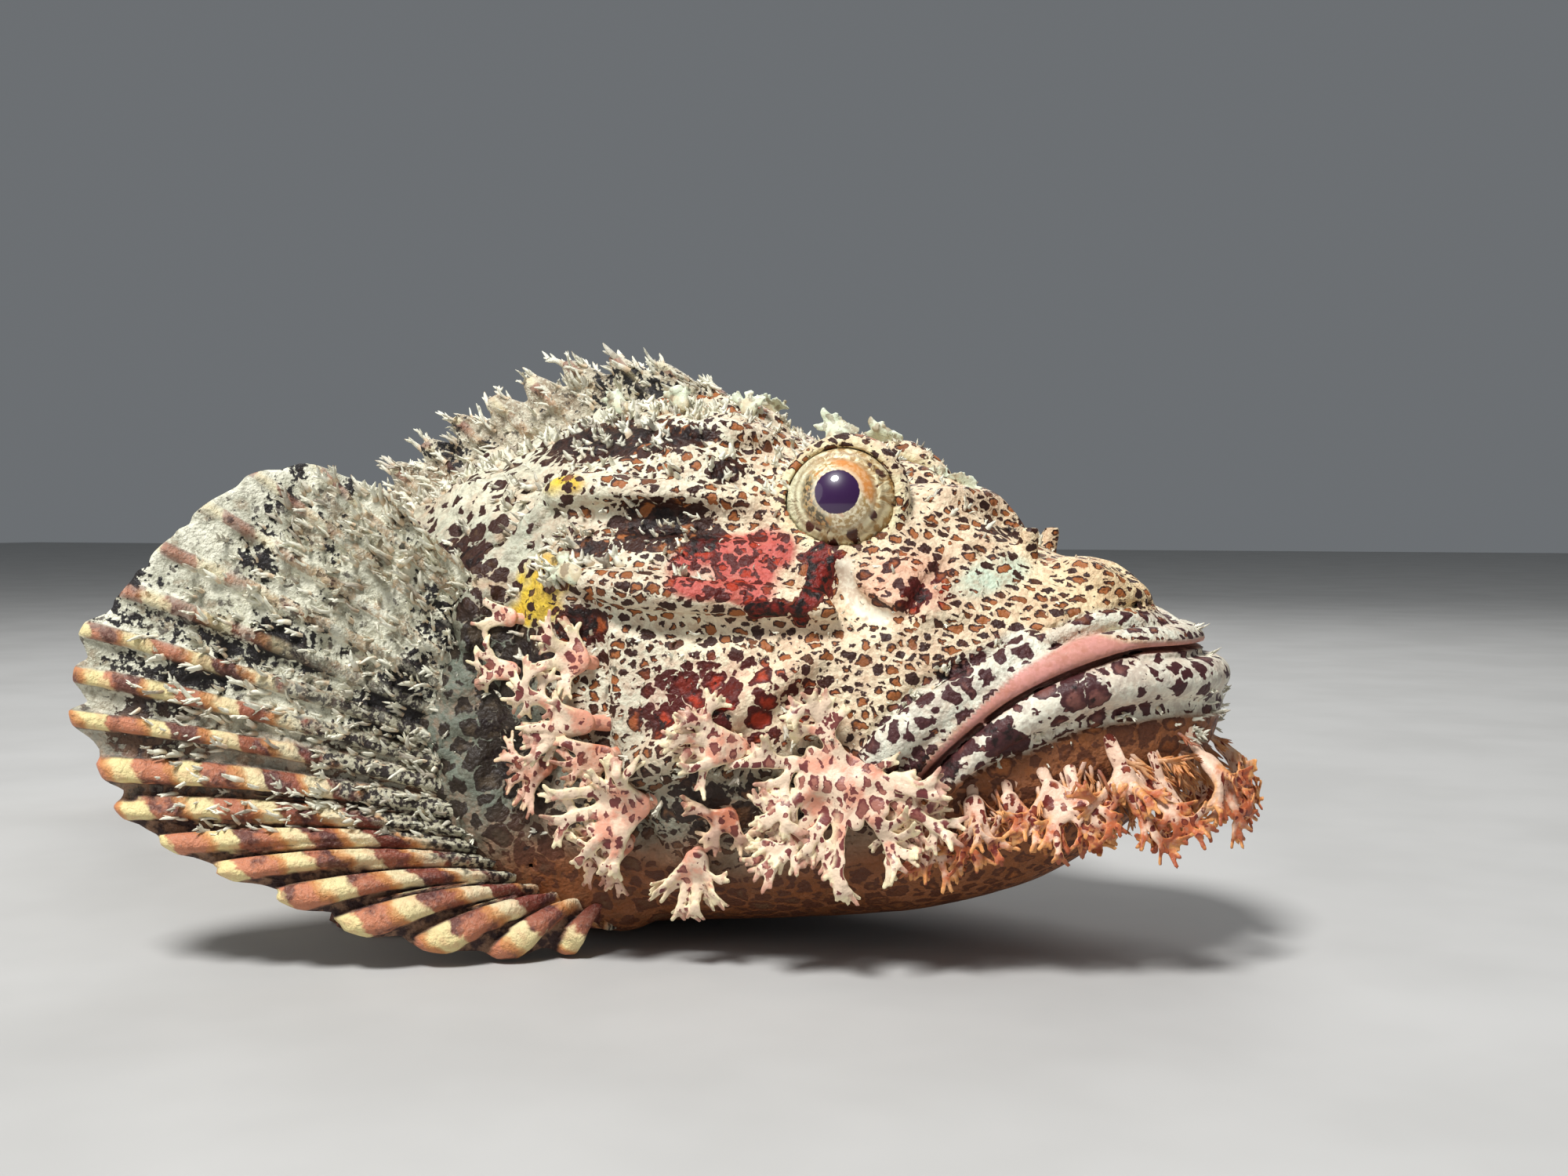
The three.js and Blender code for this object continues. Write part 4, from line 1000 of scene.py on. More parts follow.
def eye_material():
    """A violet pupil in a golden iris, and a fleshy dotted rim round it. Places
    are in millimetres across and up the eye's face."""
    n = Nodes("eye_golden")
    across, up, _ = n.split(n.read("face"))
    r = n.math("SQRT", n.math("ADD", n.math("POWER", across, 2.0), n.math("POWER", up, 2.0)))
    place = n.add("ShaderNodeCombineXYZ", {0: across, 1: up, 2: 0.0}).outputs[0]
    outward = n.add("ShaderNodeCombineXYZ", {2: n.times(r, 0.35)}).outputs[0]
    ray = n.vector("ADD", n.vector("NORMALIZE", place), outward)

    def noise(at, scale, detail, distortion=0.0):
        values = {"Vector": at, "Scale": scale, "Detail": detail, "Distortion": distortion}
        return n.add("ShaderNodeTexNoise", values).outputs["Fac"]

    def ring(start, whole, whole_end, end):
        return n.times(n.rise(r, start, whole), n.rise(r, end, whole_end))

    streaks = noise(ray, 7.0, 4.0)
    patches = noise(ray, 2.1, 2.0)
    folds = noise(place, 0.7, 5.0, 1.2)
    gold = n.wash((0.46, 0.30, 0.11), (0.92, 0.82, 0.56), streaks, 0.4, 0.6)
    gold = n.wash(gold, (0.62, 0.22, 0.05), patches, 0.42, 0.34, 0.8)
    behind = n.times(up, -0.4, across)
    olive = n.times(n.rise(behind, 2.2, 3.6), n.rise(streaks, 0.4, 0.55))
    gold = n.mix(olive, gold, (0.09, 0.065, 0.025))
    gold = n.wash(gold, (0.68, 0.25, 0.05), n.math("SUBTRACT", up, across), 2.8, 4.4, 0.75)

    rim = n.wash((0.46, 0.27, 0.10), (0.90, 0.78, 0.48), folds, 0.4, 0.6)
    rim = n.wash(rim, (0.74, 0.80, 0.58), across, 1.0, 7.5, 0.6)
    rim = n.mix(n.times(ring(6.2, 6.6, 6.7, 7.1), 0.5), rim, (0.24, 0.13, 0.04))
    dots = n.add("ShaderNodeTexVoronoi", {"Vector": place, "Scale": 0.43, "Randomness": 0.9})
    away = n.times(folds, 0.5, dots.outputs["Distance"])
    lower = n.times(n.rise(n.math("ADD", across, up), 5.0, 0.0), n.rise(r, 5.2, 6.0))
    rim = n.mix(n.times(n.rise(away, 0.66, 0.58), lower), rim, (0.07, 0.018, 0.009))

    wander = n.times(n.math("SUBTRACT", patches, 0.5), 0.5, r)
    colour = n.wash(gold, rim, wander, IRIS_RADIUS - 0.6, IRIS_RADIUS + 0.4)
    colour = n.mix(n.times(ring(5.0, 5.35, 5.6, 6.0), 0.25), colour, (0.16, 0.10, 0.04))
    colour = n.mix(n.times(ring(3.2, 3.4, 3.6, 4.2), 0.45), colour, (0.86, 0.78, 0.58))
    pupil = n.times(streaks, 0.35, r)
    colour = n.wash(colour, (0.030, 0.005, 0.050), pupil, PUPIL_RADIUS + 0.08, PUPIL_RADIUS - 0.04)
    fleshy = n.rise(r, 5.7, 6.3)
    normal = n.bump(n.times(folds, fleshy), 0.9, 0.9)
    n.finish(colour, 0.34, normal, Coat_Roughness=0.03, IOR=1.38)
    n.give(n.shader.inputs["Coat Weight"], n.rise(fleshy, 0.0, 1.0, 1.0, 0.2))
    return n.material


EYE_MATERIAL = eye_material()


def make_eye(side, way):
    """A ball with a domed cornea over the iris and the pupil."""
    rows, columns = 55, 72
    dome_height = 0.55
    dome_angle = 0.8
    axis = PUPIL_FACING * [1, way, 1]
    across = unit(np.cross([0, 0, 1], axis))
    up = np.cross(axis, across)
    tilt = np.linspace(0, math.pi, rows + 2)[1:-1, None]
    turn = np.linspace(0, 2 * math.pi, columns, endpoint=False)[None]
    dome = dome_height * np.clip(1 - (tilt / dome_angle) ** 2, 0, 1) ** 1.5
    radius = EYE_RADIUS - 0.1 + dome
    local = stack(
        radius * np.sin(tilt) * np.cos(turn),
        radius * np.sin(tilt) * np.sin(turn),
        radius * np.cos(tilt),
    ).reshape(-1, 3)
    front, back = len(local), len(local) + 1
    local = np.r_[local, [[0, 0, EYE_RADIUS + 0.45]], [[0, 0, -EYE_RADIUS]]]
    quads = quad_grid(rows, columns, closed=True)
    ring = np.arange(columns)
    after = (ring + 1) % columns
    end = (rows - 1) * columns
    caps = np.r_[
        np.stack([0 * ring + front, ring, after], -1),
        np.stack([0 * ring + back, end + after, end + ring], -1),
    ]
    points = EYE * [1, way, 1] + local @ np.array([across, up, axis])
    obj = make_mesh("eyeball_" + side, points, EYE_MATERIAL, quads, caps)
    set_colour(obj, "face", local * [way, 1, 1])
    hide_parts("eye_" + side)


for side, way in SIDES:
    make_eye(side, way)

# Fins. Each has rays as three lists of points: roots, knees and tips


def bow(a, b, c, t):
    """The point at t of a curve that leaves a towards b and ends at c."""
    return (1 - t) ** 2 * a + 2 * t * (1 - t) * b + t * t * c


# How far behind its root and how high each ray of the pectoral fin ends
PECTORAL_TIPS = np.array([
    [15.8, 72], [25, 75.7], [33.5, 74.7], [41, 70], [48, 64], [54, 57.8],
    [59, 51.6], [62, 45], [62.6, 38.4], [61, 30.5], [59.5, 24], [54, 18.5],
    [47, 14.5], [41, 10], [33, 5.5], [24, 2], [15.5, 0.5], [8, 0],
])


def pectoral_rays():
    share = np.linspace(0, 1, len(PECTORAL_TIPS))[:, None]
    top, middle, bottom = np.array([[-112, 29.5, 57], [-116, 33, 12], [-91, 24.5, 5]])
    root = bow(top, middle, bottom, share)
    # How far the fan stands off the side, in radians, more in its lower part
    turn = 0.61 + 0.65 * np.maximum(0, share - 0.6)
    tip = root + PECTORAL_TIPS[:, :1] * np.c_[-np.cos(turn), np.sin(turn), 0 * turn]
    tip[:, 2] = PECTORAL_TIPS[:, 1]
    knee = (root + tip) / 2 + np.c_[0.5 + 0 * share, 3.2 + 0 * share, 1.5 + 4.5 * share]
    return root, knee, tip


def pelvic_rays():
    share = np.linspace(0, 1, 6)[:, None]
    root = np.c_[-104 - 8 * share, 19 - 9 * share, 4.2 - 1.5 * share]
    length = 33 + 9 * np.sin(np.pi * share) - 8 * share
    angle = 0.4 - 0.34 * share
    tip = root + length * np.c_[-np.cos(angle), np.sin(angle), 0 * angle]
    tip[:, 2] = 0.5
    return root, (root + tip) / 2 + [0, 1.5, 3.2], tip


def middle_rays(count, start, end, lengths, lean, up, sink):
    """Rays along the back, or the belly where up is -1, sunk into the skin."""
    share = np.linspace(0, 1, count)
    x = start + (end - start) * share
    edge = read_table(STATIONS, x)[:, 0 if up > 0 else 1] - up * sink
    length = read_table(lengths, share)[:, 0] + sink
    tilt = lean[0] + (lean[1] - lean[0]) * share
    root = np.c_[x, 0 * x, edge]
    tip = root + length[:, None] * np.c_[-np.sin(tilt), 0 * x, up * np.cos(tilt)]
    return root, (root + tip) / 2 + [1.2, 0, up * 0.8], tip


def caudal_rays():
    share = np.linspace(0, 1, 12)
    angle = 0.34 - 0.72 * share
    root = np.c_[CAUDAL_BASE_X + 3 + 0 * share, 0 * share, 34 - 20 * share]
    length = 50 * (0.86 + 0.17 * np.sin(np.pi * share))[:, None]
    tip = root + length * np.c_[-np.cos(angle), 0 * angle, np.sin(angle)]
    tip[:, 2] += 1
    return root, (root + tip) / 2, tip


def make_fin(name, rays, material, radii, web, notch, band, way=1,
             curved=False, across=11, tall=90, seed=1, rough=1.0):
    """A fan of round rays in a membrane. radii are the rays' radii, band says
    how clearly each is banded, and notch how far the edge falls back between
    them; each is one number or a list along the fan. Returns the sheet's middle,
    its direction and half its thickness."""
    count = len(rays[0])
    s = np.linspace(0, count - 1, (count - 1) * across + 1)
    controls = [read_table(np.c_[np.arange(count), c], s)[:, None] for c in rays]
    nearest = np.round(s)
    from_ray = np.abs(s - nearest)[:, None]
    random = scramble(np.c_[nearest, nearest * 0, nearest * 0], seed)[:, None]
    radii, band, notch = (
        np.interp(s, np.linspace(0, count - 1, np.size(v)), np.atleast_1d(v))[:, None]
        for v in (radii, band, notch)
    )

    # The middle sheet, with a ragged edge that falls back between the rays
    hollow = step(0.1, 0.46, from_ray)
    ragged = 0.25 * noise(np.c_[s * 5, 0 * s, 0 * s], 1.0, seed)[:, None]
    end = 1 - notch * hollow * (1 + ragged) - 0.04 * random * (1 - hollow)
    v = np.linspace(0, 1, tall)[None]
    t = v * end
    middle = bow(*controls, t[..., None])
    beside = np.gradient(middle, s, axis=0)
    ahead = np.gradient(middle, axis=1)
    normal = unit(np.cross(beside, ahead))
    if normal[..., 1].mean() < 0:
        normal = -normal
    spacing = np.linalg.norm(beside, axis=-1)
    dist = np.cumsum(np.linalg.norm(ahead, axis=-1), axis=1)

    # Half its thickness: round rays, thinner at root and tip, over a flat web
    thickest = 2.9
    radius = radii * np.interp(t, [0, 0.15, 0.55, 0.9, 1], [0.75, 0.8, 1, 0.95, 0.85])
    radius = np.minimum(radius, 0.5 * spacing + 0.25)
    radius = radius * (1 + 0.06 * np.sin(dist * 1.9 + random * 6) * band)
    width = np.clip(radius / np.maximum(spacing, 0.5), 0.06, 0.5)
    crest = np.sqrt(np.clip(1 - (from_ray / width) ** 2, 0, 1))
    half = web + np.maximum(np.minimum(radius, thickest) - web, 0) * crest
    cap = np.clip(1.1 * radii / np.maximum(dist[:, -1:], 1), 0.02, 0.3)
    tail = np.clip((v - (1 - cap)) / cap, 0, 1)
    half = half * (np.sqrt(1 - tail**2) * 0.93 + 0.07)

    # A gentle wave, and what would sink into the floor lies on it
    wave = noise(stack(s[:, None] * 3.0, dist / 3, 0 * dist), 1.0, seed + 5)
    middle = middle + normal * (wave * 0.35 * (1 - band) * step(0, 0.2, t))[..., None]
    low = half * 0.8 + 0.1
    height = middle[..., 2]
    height = np.where(height < low, (height + low * 2) / 3, height)
    middle[..., 2] = np.maximum(height, low * 0.8)

    sheets = []
    for sign in (1, -1):
        sheet = middle + sign * normal * half[..., None]
        grain = noise(sheet, 1.4, seed + 9) * 0.3 + noise(sheet, 3.1, seed + 8) * 0.4
        grain = grain * (1 - 0.75 * band) * rough * step(0.98, 0.8, v)
        sheets.append((sheet + sign * normal * grain[..., None]).reshape(-1, 3))
    points = np.concatenate(sheets)
    rows = len(s)
    size = rows * tall
    quads = quad_grid(rows, tall)
    rim = np.r_[
        np.arange(rows) * tall,
        (rows - 1) * tall + np.arange(1, tall),
        np.arange(rows - 2, -1, -1) * tall + tall - 1,
        np.arange(tall - 2, 0, -1),
    ]
    after = np.roll(rim, -1)
    strip = np.stack([rim, rim + size, after + size, after], -1)
    faces = np.r_[quads, quads[:, ::-1] + size, strip]
    first, second, _, last = points[quads[0]]
    if np.cross(second - first, last - first) @ normal[0, 0] < 0:
        faces = faces[:, ::-1]
    if curved:
        points = bend(points)
    if way < 0:
        points = points * MIRROR
        faces = faces[:, ::-1]
    points[:, 2] = np.maximum(points[:, 2], FLOOR_GAP)
    obj = make_mesh(name + "_skin", points, material, faces)
    form = stack(dist + random * 5.0 + s[:, None] * 1.4, t, crest).reshape(-1, 3)
    zone = stack(band, random, s[:, None] / (count - 1) + 0 * t).reshape(-1, 3)
    set_colour(obj, "form", np.r_[form, form])
    set_colour(obj, "zone", np.r_[zone, zone])
    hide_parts(name)
    return middle, normal, half


def fin_material(name, dull=(0.45, 0.44, 0.33), light=(0.82, 0.80, 0.64)):
    """Banded rays, brick and cream, in a dark mottled web. Thin rays are pale
    grey-green with black mottling."""
    n = Nodes(name)
    run, share, crest = n.split(n.read("form"))
    band, _, order = n.split(n.read("zone"))
    cloud = n.noise(0.22, 4.0)
    fleck = n.noise(0.55, 4.0)
    speck = n.noise(1.1, 4.0)
    grain = n.noise(1.9, 3.0)

    # Thick rays: cream bands on brick, and near the root black and grey
    wander = n.times(n.noise(0.3, 3.0), 4.5, run)
    phase = n.math("FRACT", n.math("DIVIDE", wander, 9.2))
    cream = n.times(n.rise(phase, 0.0, 0.07), n.rise(phase, 0.5, 0.42))
    brick = n.wash((0.17, 0.036, 0.024), (0.56, 0.21, 0.11), share, 0.3, 0.9)
    brick = n.wash(brick, (0.06, 0.022, 0.025), cloud, 0.48, 0.6, 0.8)
    brick = n.wash(brick, (0.50, 0.33, 0.26), grain, 0.5, 0.72, 0.35)
    pale = n.wash((0.72, 0.62, 0.42), (0.82, 0.68, 0.32), share, 0.2, 1.0)
    pale = n.wash(pale, (0.66, 0.34, 0.18), fleck, 0.45, 0.68, 0.4)
    edge = n.times(n.rise(phase, 0.34, 0.44), n.rise(phase, 0.62, 0.5))
    ray = n.mix(n.times(edge, 0.7), n.mix(cream, brick, pale), (0.60, 0.26, 0.08))
    near = n.times(order, 0.5, n.times(fleck, 0.5, share))
    mottled = n.wash((0.035, 0.025, 0.022), (0.50, 0.47, 0.34), speck, 0.45, 0.55)
    ray = n.wash(ray, mottled, near, 0.98, 0.84)
    web = n.wash((0.045, 0.02, 0.018), (0.27, 0.15, 0.09), fleck, 0.42, 0.6)
    thick = n.wash(web, ray, crest, 0.2, 0.6)

    # Thin rays and their web: pale, with brown, tan and black
    base = n.wash(dull, light, cloud, 0.4, 0.62)
    base = n.wash(base, n.mix(0.5, dull, (0.10, 0.06, 0.04)), speck, 0.5, 0.62, 0.55)
    tan = n.times(n.rise(crest, 0.25, 0.6), n.rise(fleck, 0.42, 0.54))
    base = n.mix(n.times(tan, 0.75), base, (0.46, 0.31, 0.18))
    base = n.wash(base, (0.30, 0.20, 0.12), cloud, 0.46, 0.36, 0.55)
    base = n.wash(base, (0.82, 0.82, 0.66), grain, 0.5, 0.66, 0.6)
    ends = n.times(n.rise(share, 0.62, 0.85), n.rise(crest, 0.1, 0.5))
    tips = n.mix(cream, (0.26, 0.13, 0.10), (0.70, 0.66, 0.48))
    base = n.mix(n.times(ends, 0.7), base, tips)
    patch = n.times(speck, 0.34, n.times(fleck, 0.4, n.noise(0.075, 2.0)))
    base = n.wash(base, (0.015, 0.012, 0.012), patch, 0.928, 0.975)
    base = n.wash(base, (0.05, 0.035, 0.03), n.noise(0.5, 4.0), 0.61, 0.66, 0.8)
    colour = n.wash(base, thick, n.times(crest, 0.55, band), 0.35, 1.0)
    normal = n.bump(n.times(grain, 1.0, n.times(speck, 1.3)), 0.35, 0.9)
    return n.finish(colour, n.rise(grain, 0.3, 0.7, 0.42, 0.62), normal, Specular_IOR_Level=0.35)


FIN = fin_material("skin_fin")
FIN_BACK = fin_material("skin_fin_back", (0.34, 0.27, 0.18), (0.62, 0.56, 0.42))
fins = {}


def add_fin(name, rays, *rest, way=1, **options):
    fins[name] = way, make_fin(name, rays, *rest, way=way, **options)


for side, way in SIDES:
    add_fin(
        "pectoral_fin_" + side, pectoral_rays(), FIN,
        [1, 1, 1.1, 1.2, 1.3, 1.5, 1.7, 1.9, 2.2, 2.7, 3.3, 3.8, 4.2, 4.2, 4.1, 3.9, 3.4, 2.7],
        0.32, [0.03, 0.03, 0.04, 0.05, 0.06, 0.07, 0.08, 0.08, 0.08],
        [0, 0, 0, 0.02, 0.06, 0.14, 0.3, 0.45, 0.6, 0.8, 0.95, 1, 1, 1, 1, 1, 1, 1],
        way=way, across=14, tall=110, seed=3,
    )
    add_fin(
        "pelvic_fin_" + side, pelvic_rays(), FIN, 1.9, 0.35, 0.12, 0.85,
        way=way, tall=50, seed=7,
    )
add_fin(
    "dorsal_fin_spiny",
    middle_rays(12, -76, -160, [[0, 9], [0.15, 13.5], [0.35, 15.5], [0.75, 12], [1, 10]],
                (0.7, 0.95), 1, 4),
    FIN_BACK, 1.3, 0.8, 0.24, 0, curved=True, across=16, tall=44, seed=11, rough=1.6,
)
add_fin(
    "dorsal_fin_soft",
    middle_rays(9, -168, -203, [[0, 17], [0.4, 21], [1, 14]], (0.75, 1.1), 1, 3),
    FIN_BACK, 0.85, 0.4, 0.1, 0.25, curved=True, tall=50, seed=12, rough=0.6,
)
add_fin(
    "anal_fin", middle_rays(7, -186, -208, [[0, 8], [0.3, 16], [1, 15]], (0.8, 1.15), -1, 3),
    FIN_BACK, 1, 0.4, 0.16, 0.4, curved=True, tall=44, seed=13, rough=0.6,
)
add_fin(
    "caudal_fin", caudal_rays(), FIN_BACK, 1, 0.4, 0.06, 0.45,
    curved=True, across=12, tall=80, seed=14, rough=0.6,
)

# Tassels: branched fans of skin

SQUEEZE = 2.4


def turned(way, angle, lift=0.0):
    """A direction in a fan's plane turned about its outward one, and lifted."""
    c, s = math.cos(angle), math.sin(angle)
    return unit(np.array([way[0] * c - way[1] * s, way[0] * s + way[1] * c, lift]))


def flat_way(v):
    """A direction turned down into the fan's plane."""
    return unit(v * [1, 1, 0])


class Tassel:
    """Rods that branch from a hub, as (a, b, radius at a, radius at b, how near
    the tips a is, how near b is). thick scales every rod's radius, and finger
    the length of the smallest branches."""

    def __init__(self, seed, thick, finger):
        self.random = np.random.default_rng(seed)
        self.thick = thick
        self.finger = finger
        self.rods = []

    def rod(self, line, r0, r1, t0, t1):
        radii = np.linspace(r0, r1, len(line))
        near = np.linspace(t0, t1, len(line))
        for k in range(len(line) - 1):
            self.rods.append((line[k], line[k + 1], *radii[k:k + 2], *near[k:k + 2]))

    def lobes(self, at, way, r, near):
        """Two or three short fingers at a branch's end."""
        random = self.random
        count = random.integers(2, 4)
        for k in range(count):
            turn = (k + 0.5) / count * 1.7 - 0.85 + random.normal(0, 0.15)
            far = random.uniform(1.1, 2.6) * self.finger
            end = at + turned(way, turn, random.normal(0, 0.3)) * far
            self.rod([at, end], r, 0.34, near, 1)

    def twig(self, at, way, far, r, near, level):
        """A bent side branch with lobes, and level more branches on it in turn."""
        random = self.random
        lie = turned(way, random.normal(0, 0.12), random.normal(0.05, 0.2))
        bent = turned(lie, random.normal(0, 0.35), random.normal(0, 0.2))
        middle = at + lie * far * 0.5
        end = middle + bent * far * 0.5
        self.rod([at, middle, end], r, 0.5 * self.thick, near, 0.85)
        self.lobes(end, flat_way(bent), 0.46 * self.thick, 0.85)
        if level > 0 and far > 3:
            side = random.choice([-1, 1])
            start = at + (middle - at) * random.uniform(0.9, 1.4)
            way = turned(lie, side * random.uniform(0.6, 0.9))
            self.twig(start, way, far * 0.55, r * 0.85, near + 0.2, level - 1)

    def branch(self, hub, tip, lace):
        """A main branch from the hub to a tip, with twigs on both sides."""
        random, thick = self.random, self.thick
        reach = np.linalg.norm(tip - hub)
        knee = hub + (tip - hub) * 0.5 + random.normal(0, 0.06 * reach, 3) * [1, 1, 0.6]
        line = [bow(hub, knee, tip, t) for t in np.linspace(0, 1, 7)]
        self.rod(line, 1.15 * thick, 0.54 * thick, 0.12, 0.85)
        self.lobes(line[-1], flat_way(line[-1] - line[-2]), 0.5 * thick, 0.85)
        count = max(1, int(reach / 4.6))
        for k in range(count):
            for side in (-1, 1):
                if random.random() < 0.25:
                    continue
                t = 0.45 + 0.5 * (k + random.uniform(0, 0.6)) / count
                way = turned(flat_way(tip - hub), side * random.uniform(0.45, 0.8))
                far = (random.uniform(1.6, 2.8) + 0.22 * reach * (1 - t)) * self.finger
                at = bow(hub, knee, tip, t)
                self.twig(at, way, far, 0.6 * thick, 0.25 + 0.5 * t, lace - 1)


def grow_tassel(root, out, tips, seed, stalk=0.25, thick=1.0, lace=2, web=2.0, finger=1.0):
    """A lacy fan whose branches end at tips, each given as forward, up and out
    of the root in millimetres. Returns its points, faces, how near each point
    is to a fingertip, and its flat places."""
    forward = unit(np.array([1, 0, 0]) - out * out[0])
    upward = unit(np.cross(forward, out))
    if upward[2] < 0:
        upward = -upward
    tips = np.array(tips, float)
    length = np.linalg.norm(tips, axis=1).max()
    hub = tips.mean(0) * stalk
    hub[2] = 0.9
    tassel = Tassel(seed, thick, finger)
    base = np.array([0, 0, -1.5])
    tassel.rod([base, hub], 1.0 * thick + 0.02 * length, 1.05 * thick, 0, 0.12)

    # Webs between branches that lie close, then the branches
    order = np.argsort(np.arctan2(*(tips - hub)[:, 1::-1].T))
    for first, second in zip(order, np.roll(order, -1)):
        a, b = tips[first] - hub, tips[second] - hub
        if unit(a[:2]) @ unit(b[:2]) > 0.25:
            tassel.rod([hub, hub + (a + b) * 0.24], 1.05 * thick, 0.95 * thick, 0.12, 0.45)
    for tip in tips:
        tassel.branch(hub, tip, lace)

    # The fan is meshed with its thickness drawn out, and squeezed afterwards
    drawn = np.array([1, 1, SQUEEZE])
    ends = np.array([end for a, b, *_ in tassel.rods for end in (a, b)]) * drawn
    size = 0.3
    room = 2.4
    low, high = ends.min(0) - room, ends.max(0) + room
    f = Field(*(np.arange(a, b, size) for a, b in zip(low, high)), tagged=True)
    for a, b, ra, rb, ta, tb in tassel.rods:
        soft = 0.5 + 0.6 * web * max(0, 0.55 - ta)
        f.stick(a * drawn, b * drawn, ra, rb, soft, tags=(ta, tb))
    flat, quads = f.surface()
    at = np.round((flat - low) / size).astype(int)
    near_tip = f.tag[tuple(np.clip(at, 0, np.array(f.value.shape) - 1).T)]
    flat = flat / drawn
    ruffle = noise(flat * [1, 1, 0] + [0, 0, seed * 3.0], 4.5, seed) * 1.7
    flat[:, 2] += ruffle * step(0, 6, np.linalg.norm(flat[:, :2], axis=1))
    return root + flat @ np.array([forward, upward, out]), quads, near_tip, flat


def tassel_piece(name, material, list_of, seed, facing=None):
    """Both sides' tassels of a list as one mesh a side. They lie on the skin, or
    stand across a facing direction, on the eyelid where a height comes with how
    far out it is."""
    made = []
    for k, (x, z, tips, options) in enumerate(list_of):
        if np.ndim(z):
            at, out = np.array([x, *z]), unit(facing)
        else:
            at, out, _ = on_skin(x, z)
        if facing is not None:
            at, out = at + out * 0.8, unit(facing)
        made.append(grow_tassel(at, out, tips, seed + 13 * k, **options))
    grid = math.ceil(math.sqrt(2 * len(made)))
    for side, way in SIDES:
        parts, forms, places = [], [], []
        for k, (p, quads, near_tip, flat) in enumerate(made):
            # Each fan's two faces have a cell of the map each
            behind = smooth_normals(p, quads)[:, 1] < 0
            span = np.ptp(flat[:, :2], axis=0).max() * 1.08
            local = (flat[:, :2] - flat[:, :2].min(0)) / span
            cell = 2 * k + behind
            places.append((stack(cell % grid, cell // grid) + 0.03 + local * 0.94) / grid)
            if way < 0:
                p, quads = p * MIRROR, quads[:, ::-1]
            parts.append((p, quads))
            flatness = np.abs(smooth_normals(flat * [1, 1, SQUEEZE], quads)[:, 2])
            forms.append(stack(near_tip, 0 * near_tip, flatness))
        p, quads = join_meshes(parts)
        p[:, 2] = np.maximum(p[:, 2], 2 * FLOOR_GAP)
        obj = make_mesh(name + "_" + side, p, material, quads)
        set_colour(obj, "form", np.concatenate(forms))
        set_map(obj, np.concatenate(places))


# Each tassel: x, z, its branches' ends and how it grows. An end is given as
# forward, up and out of the root

WEBBED = dict(stalk=0.35, thick=1.15, web=3.2)
CHEEK_TASSELS = [
    (-51.5, 34, [[-5.5, 7, 3], [-17, -2, 4], [-12.5, -10, 4], [-12.8, -17, 4],
                 [-6, -14, 4.5], [-1.6, -20, 4], [6.5, -15.8, 4], [13.8, -11.5, 4],
                 [12, -6, 4], [5.2, -1.5, 3]], WEBBED),
    (-65.5, 33.5, [[-11, 2, 3], [-8.5, -2.5, 3], [-6, 3.5, 2.5], [-9, 5, 3]], {}),
    (-79, 26, [[-14.5, -2, 5], [-13.5, 2, 5], [-11.8, -8.5, 5], [-6.5, -9.5, 5],
               [-4.5, 5.5, 4], [-8.5, 4, 4.5]], WEBBED),
    (-74, 19, [[-6, -5, 4], [-4, -8.5, 4], [1.5, -6, 4], [-1.5, -8, 4.5]], {}),
    (-88, 37, [[-12.5, 5.5, 3], [-11, -1, 3.5], [-10, -5, 3], [-6, 3, 2.5]],
     dict(stalk=0.3, web=2.6)),
    (-91, 46, [[-5.5, 3, 2.5], [-6, -1, 2.5], [-2, 4, 2], [-3, -3.5, 2]], dict(lace=1)),
    (-47, 28, [[4, -5, 3], [7, -2.5, 3], [1, -7, 3.5]], dict(lace=1, thick=0.9)),
    (-103, 44, [[-5, 2, 2], [-5.5, -1.5, 2.5]], dict(lace=1, thick=0.8)),
    (-104, 52, [[-5, 2.5, 2], [-5, -1, 2.5]], dict(lace=1, thick=0.8)),
]
CHIN_TASSELS = [
    (-17, 38.2, [[2, -9.7, 3.5], [12.5, -15.5, 4], [7.5, -17.5, 4], [-3, -12, 4],
                 [5, -10.5, 5]], dict(stalk=0.6, thick=0.85)),
    (-26.5, 34, [[8, -12, 4], [3.2, -14, 4], [-1.5, -10.5, 3], [11, -8.5, 4]],
     dict(stalk=0.5, thick=0.8)),
    (-35, 30.5, [[-2, -12.5, 3], [3.2, -11, 3], [0.5, -8.5, 4]], dict(stalk=0.4, thick=0.78)),
    (-39.5, 28, [[-3, -10, 3], [0.5, -11.5, 3]], dict(stalk=0.4, thick=0.74)),
    (-6.8, 39.5, [[9.5, -12, 3], [8.5, -16.5, 3], [4, -14, 3.5], [6, -10, 4]],
     dict(stalk=0.6, thick=0.8)),
    (-11, 37, [[3, -15, 3], [-1, -16, 3.5], [7, -14, 4]], dict(stalk=0.6, thick=0.74)),
    (-22, 35, [[2.5, -14, 3], [-2, -12.5, 3], [5, -12, 4]], dict(stalk=0.6, thick=0.74)),
    (-42.5, 24, [[0.5, -6, 3], [4, -5, 3]], dict(thick=0.7, lace=1)),
    (-14, 36, [[4, -11, 3], [8, -11.5, 4], [1, -9, 3]], dict(stalk=0.55, thick=0.7, lace=1)),
    (-30.5, 31.5, [[1, -10, 3], [5, -9, 4], [-2, -9, 3]], dict(stalk=0.5, thick=0.7, lace=1)),
]
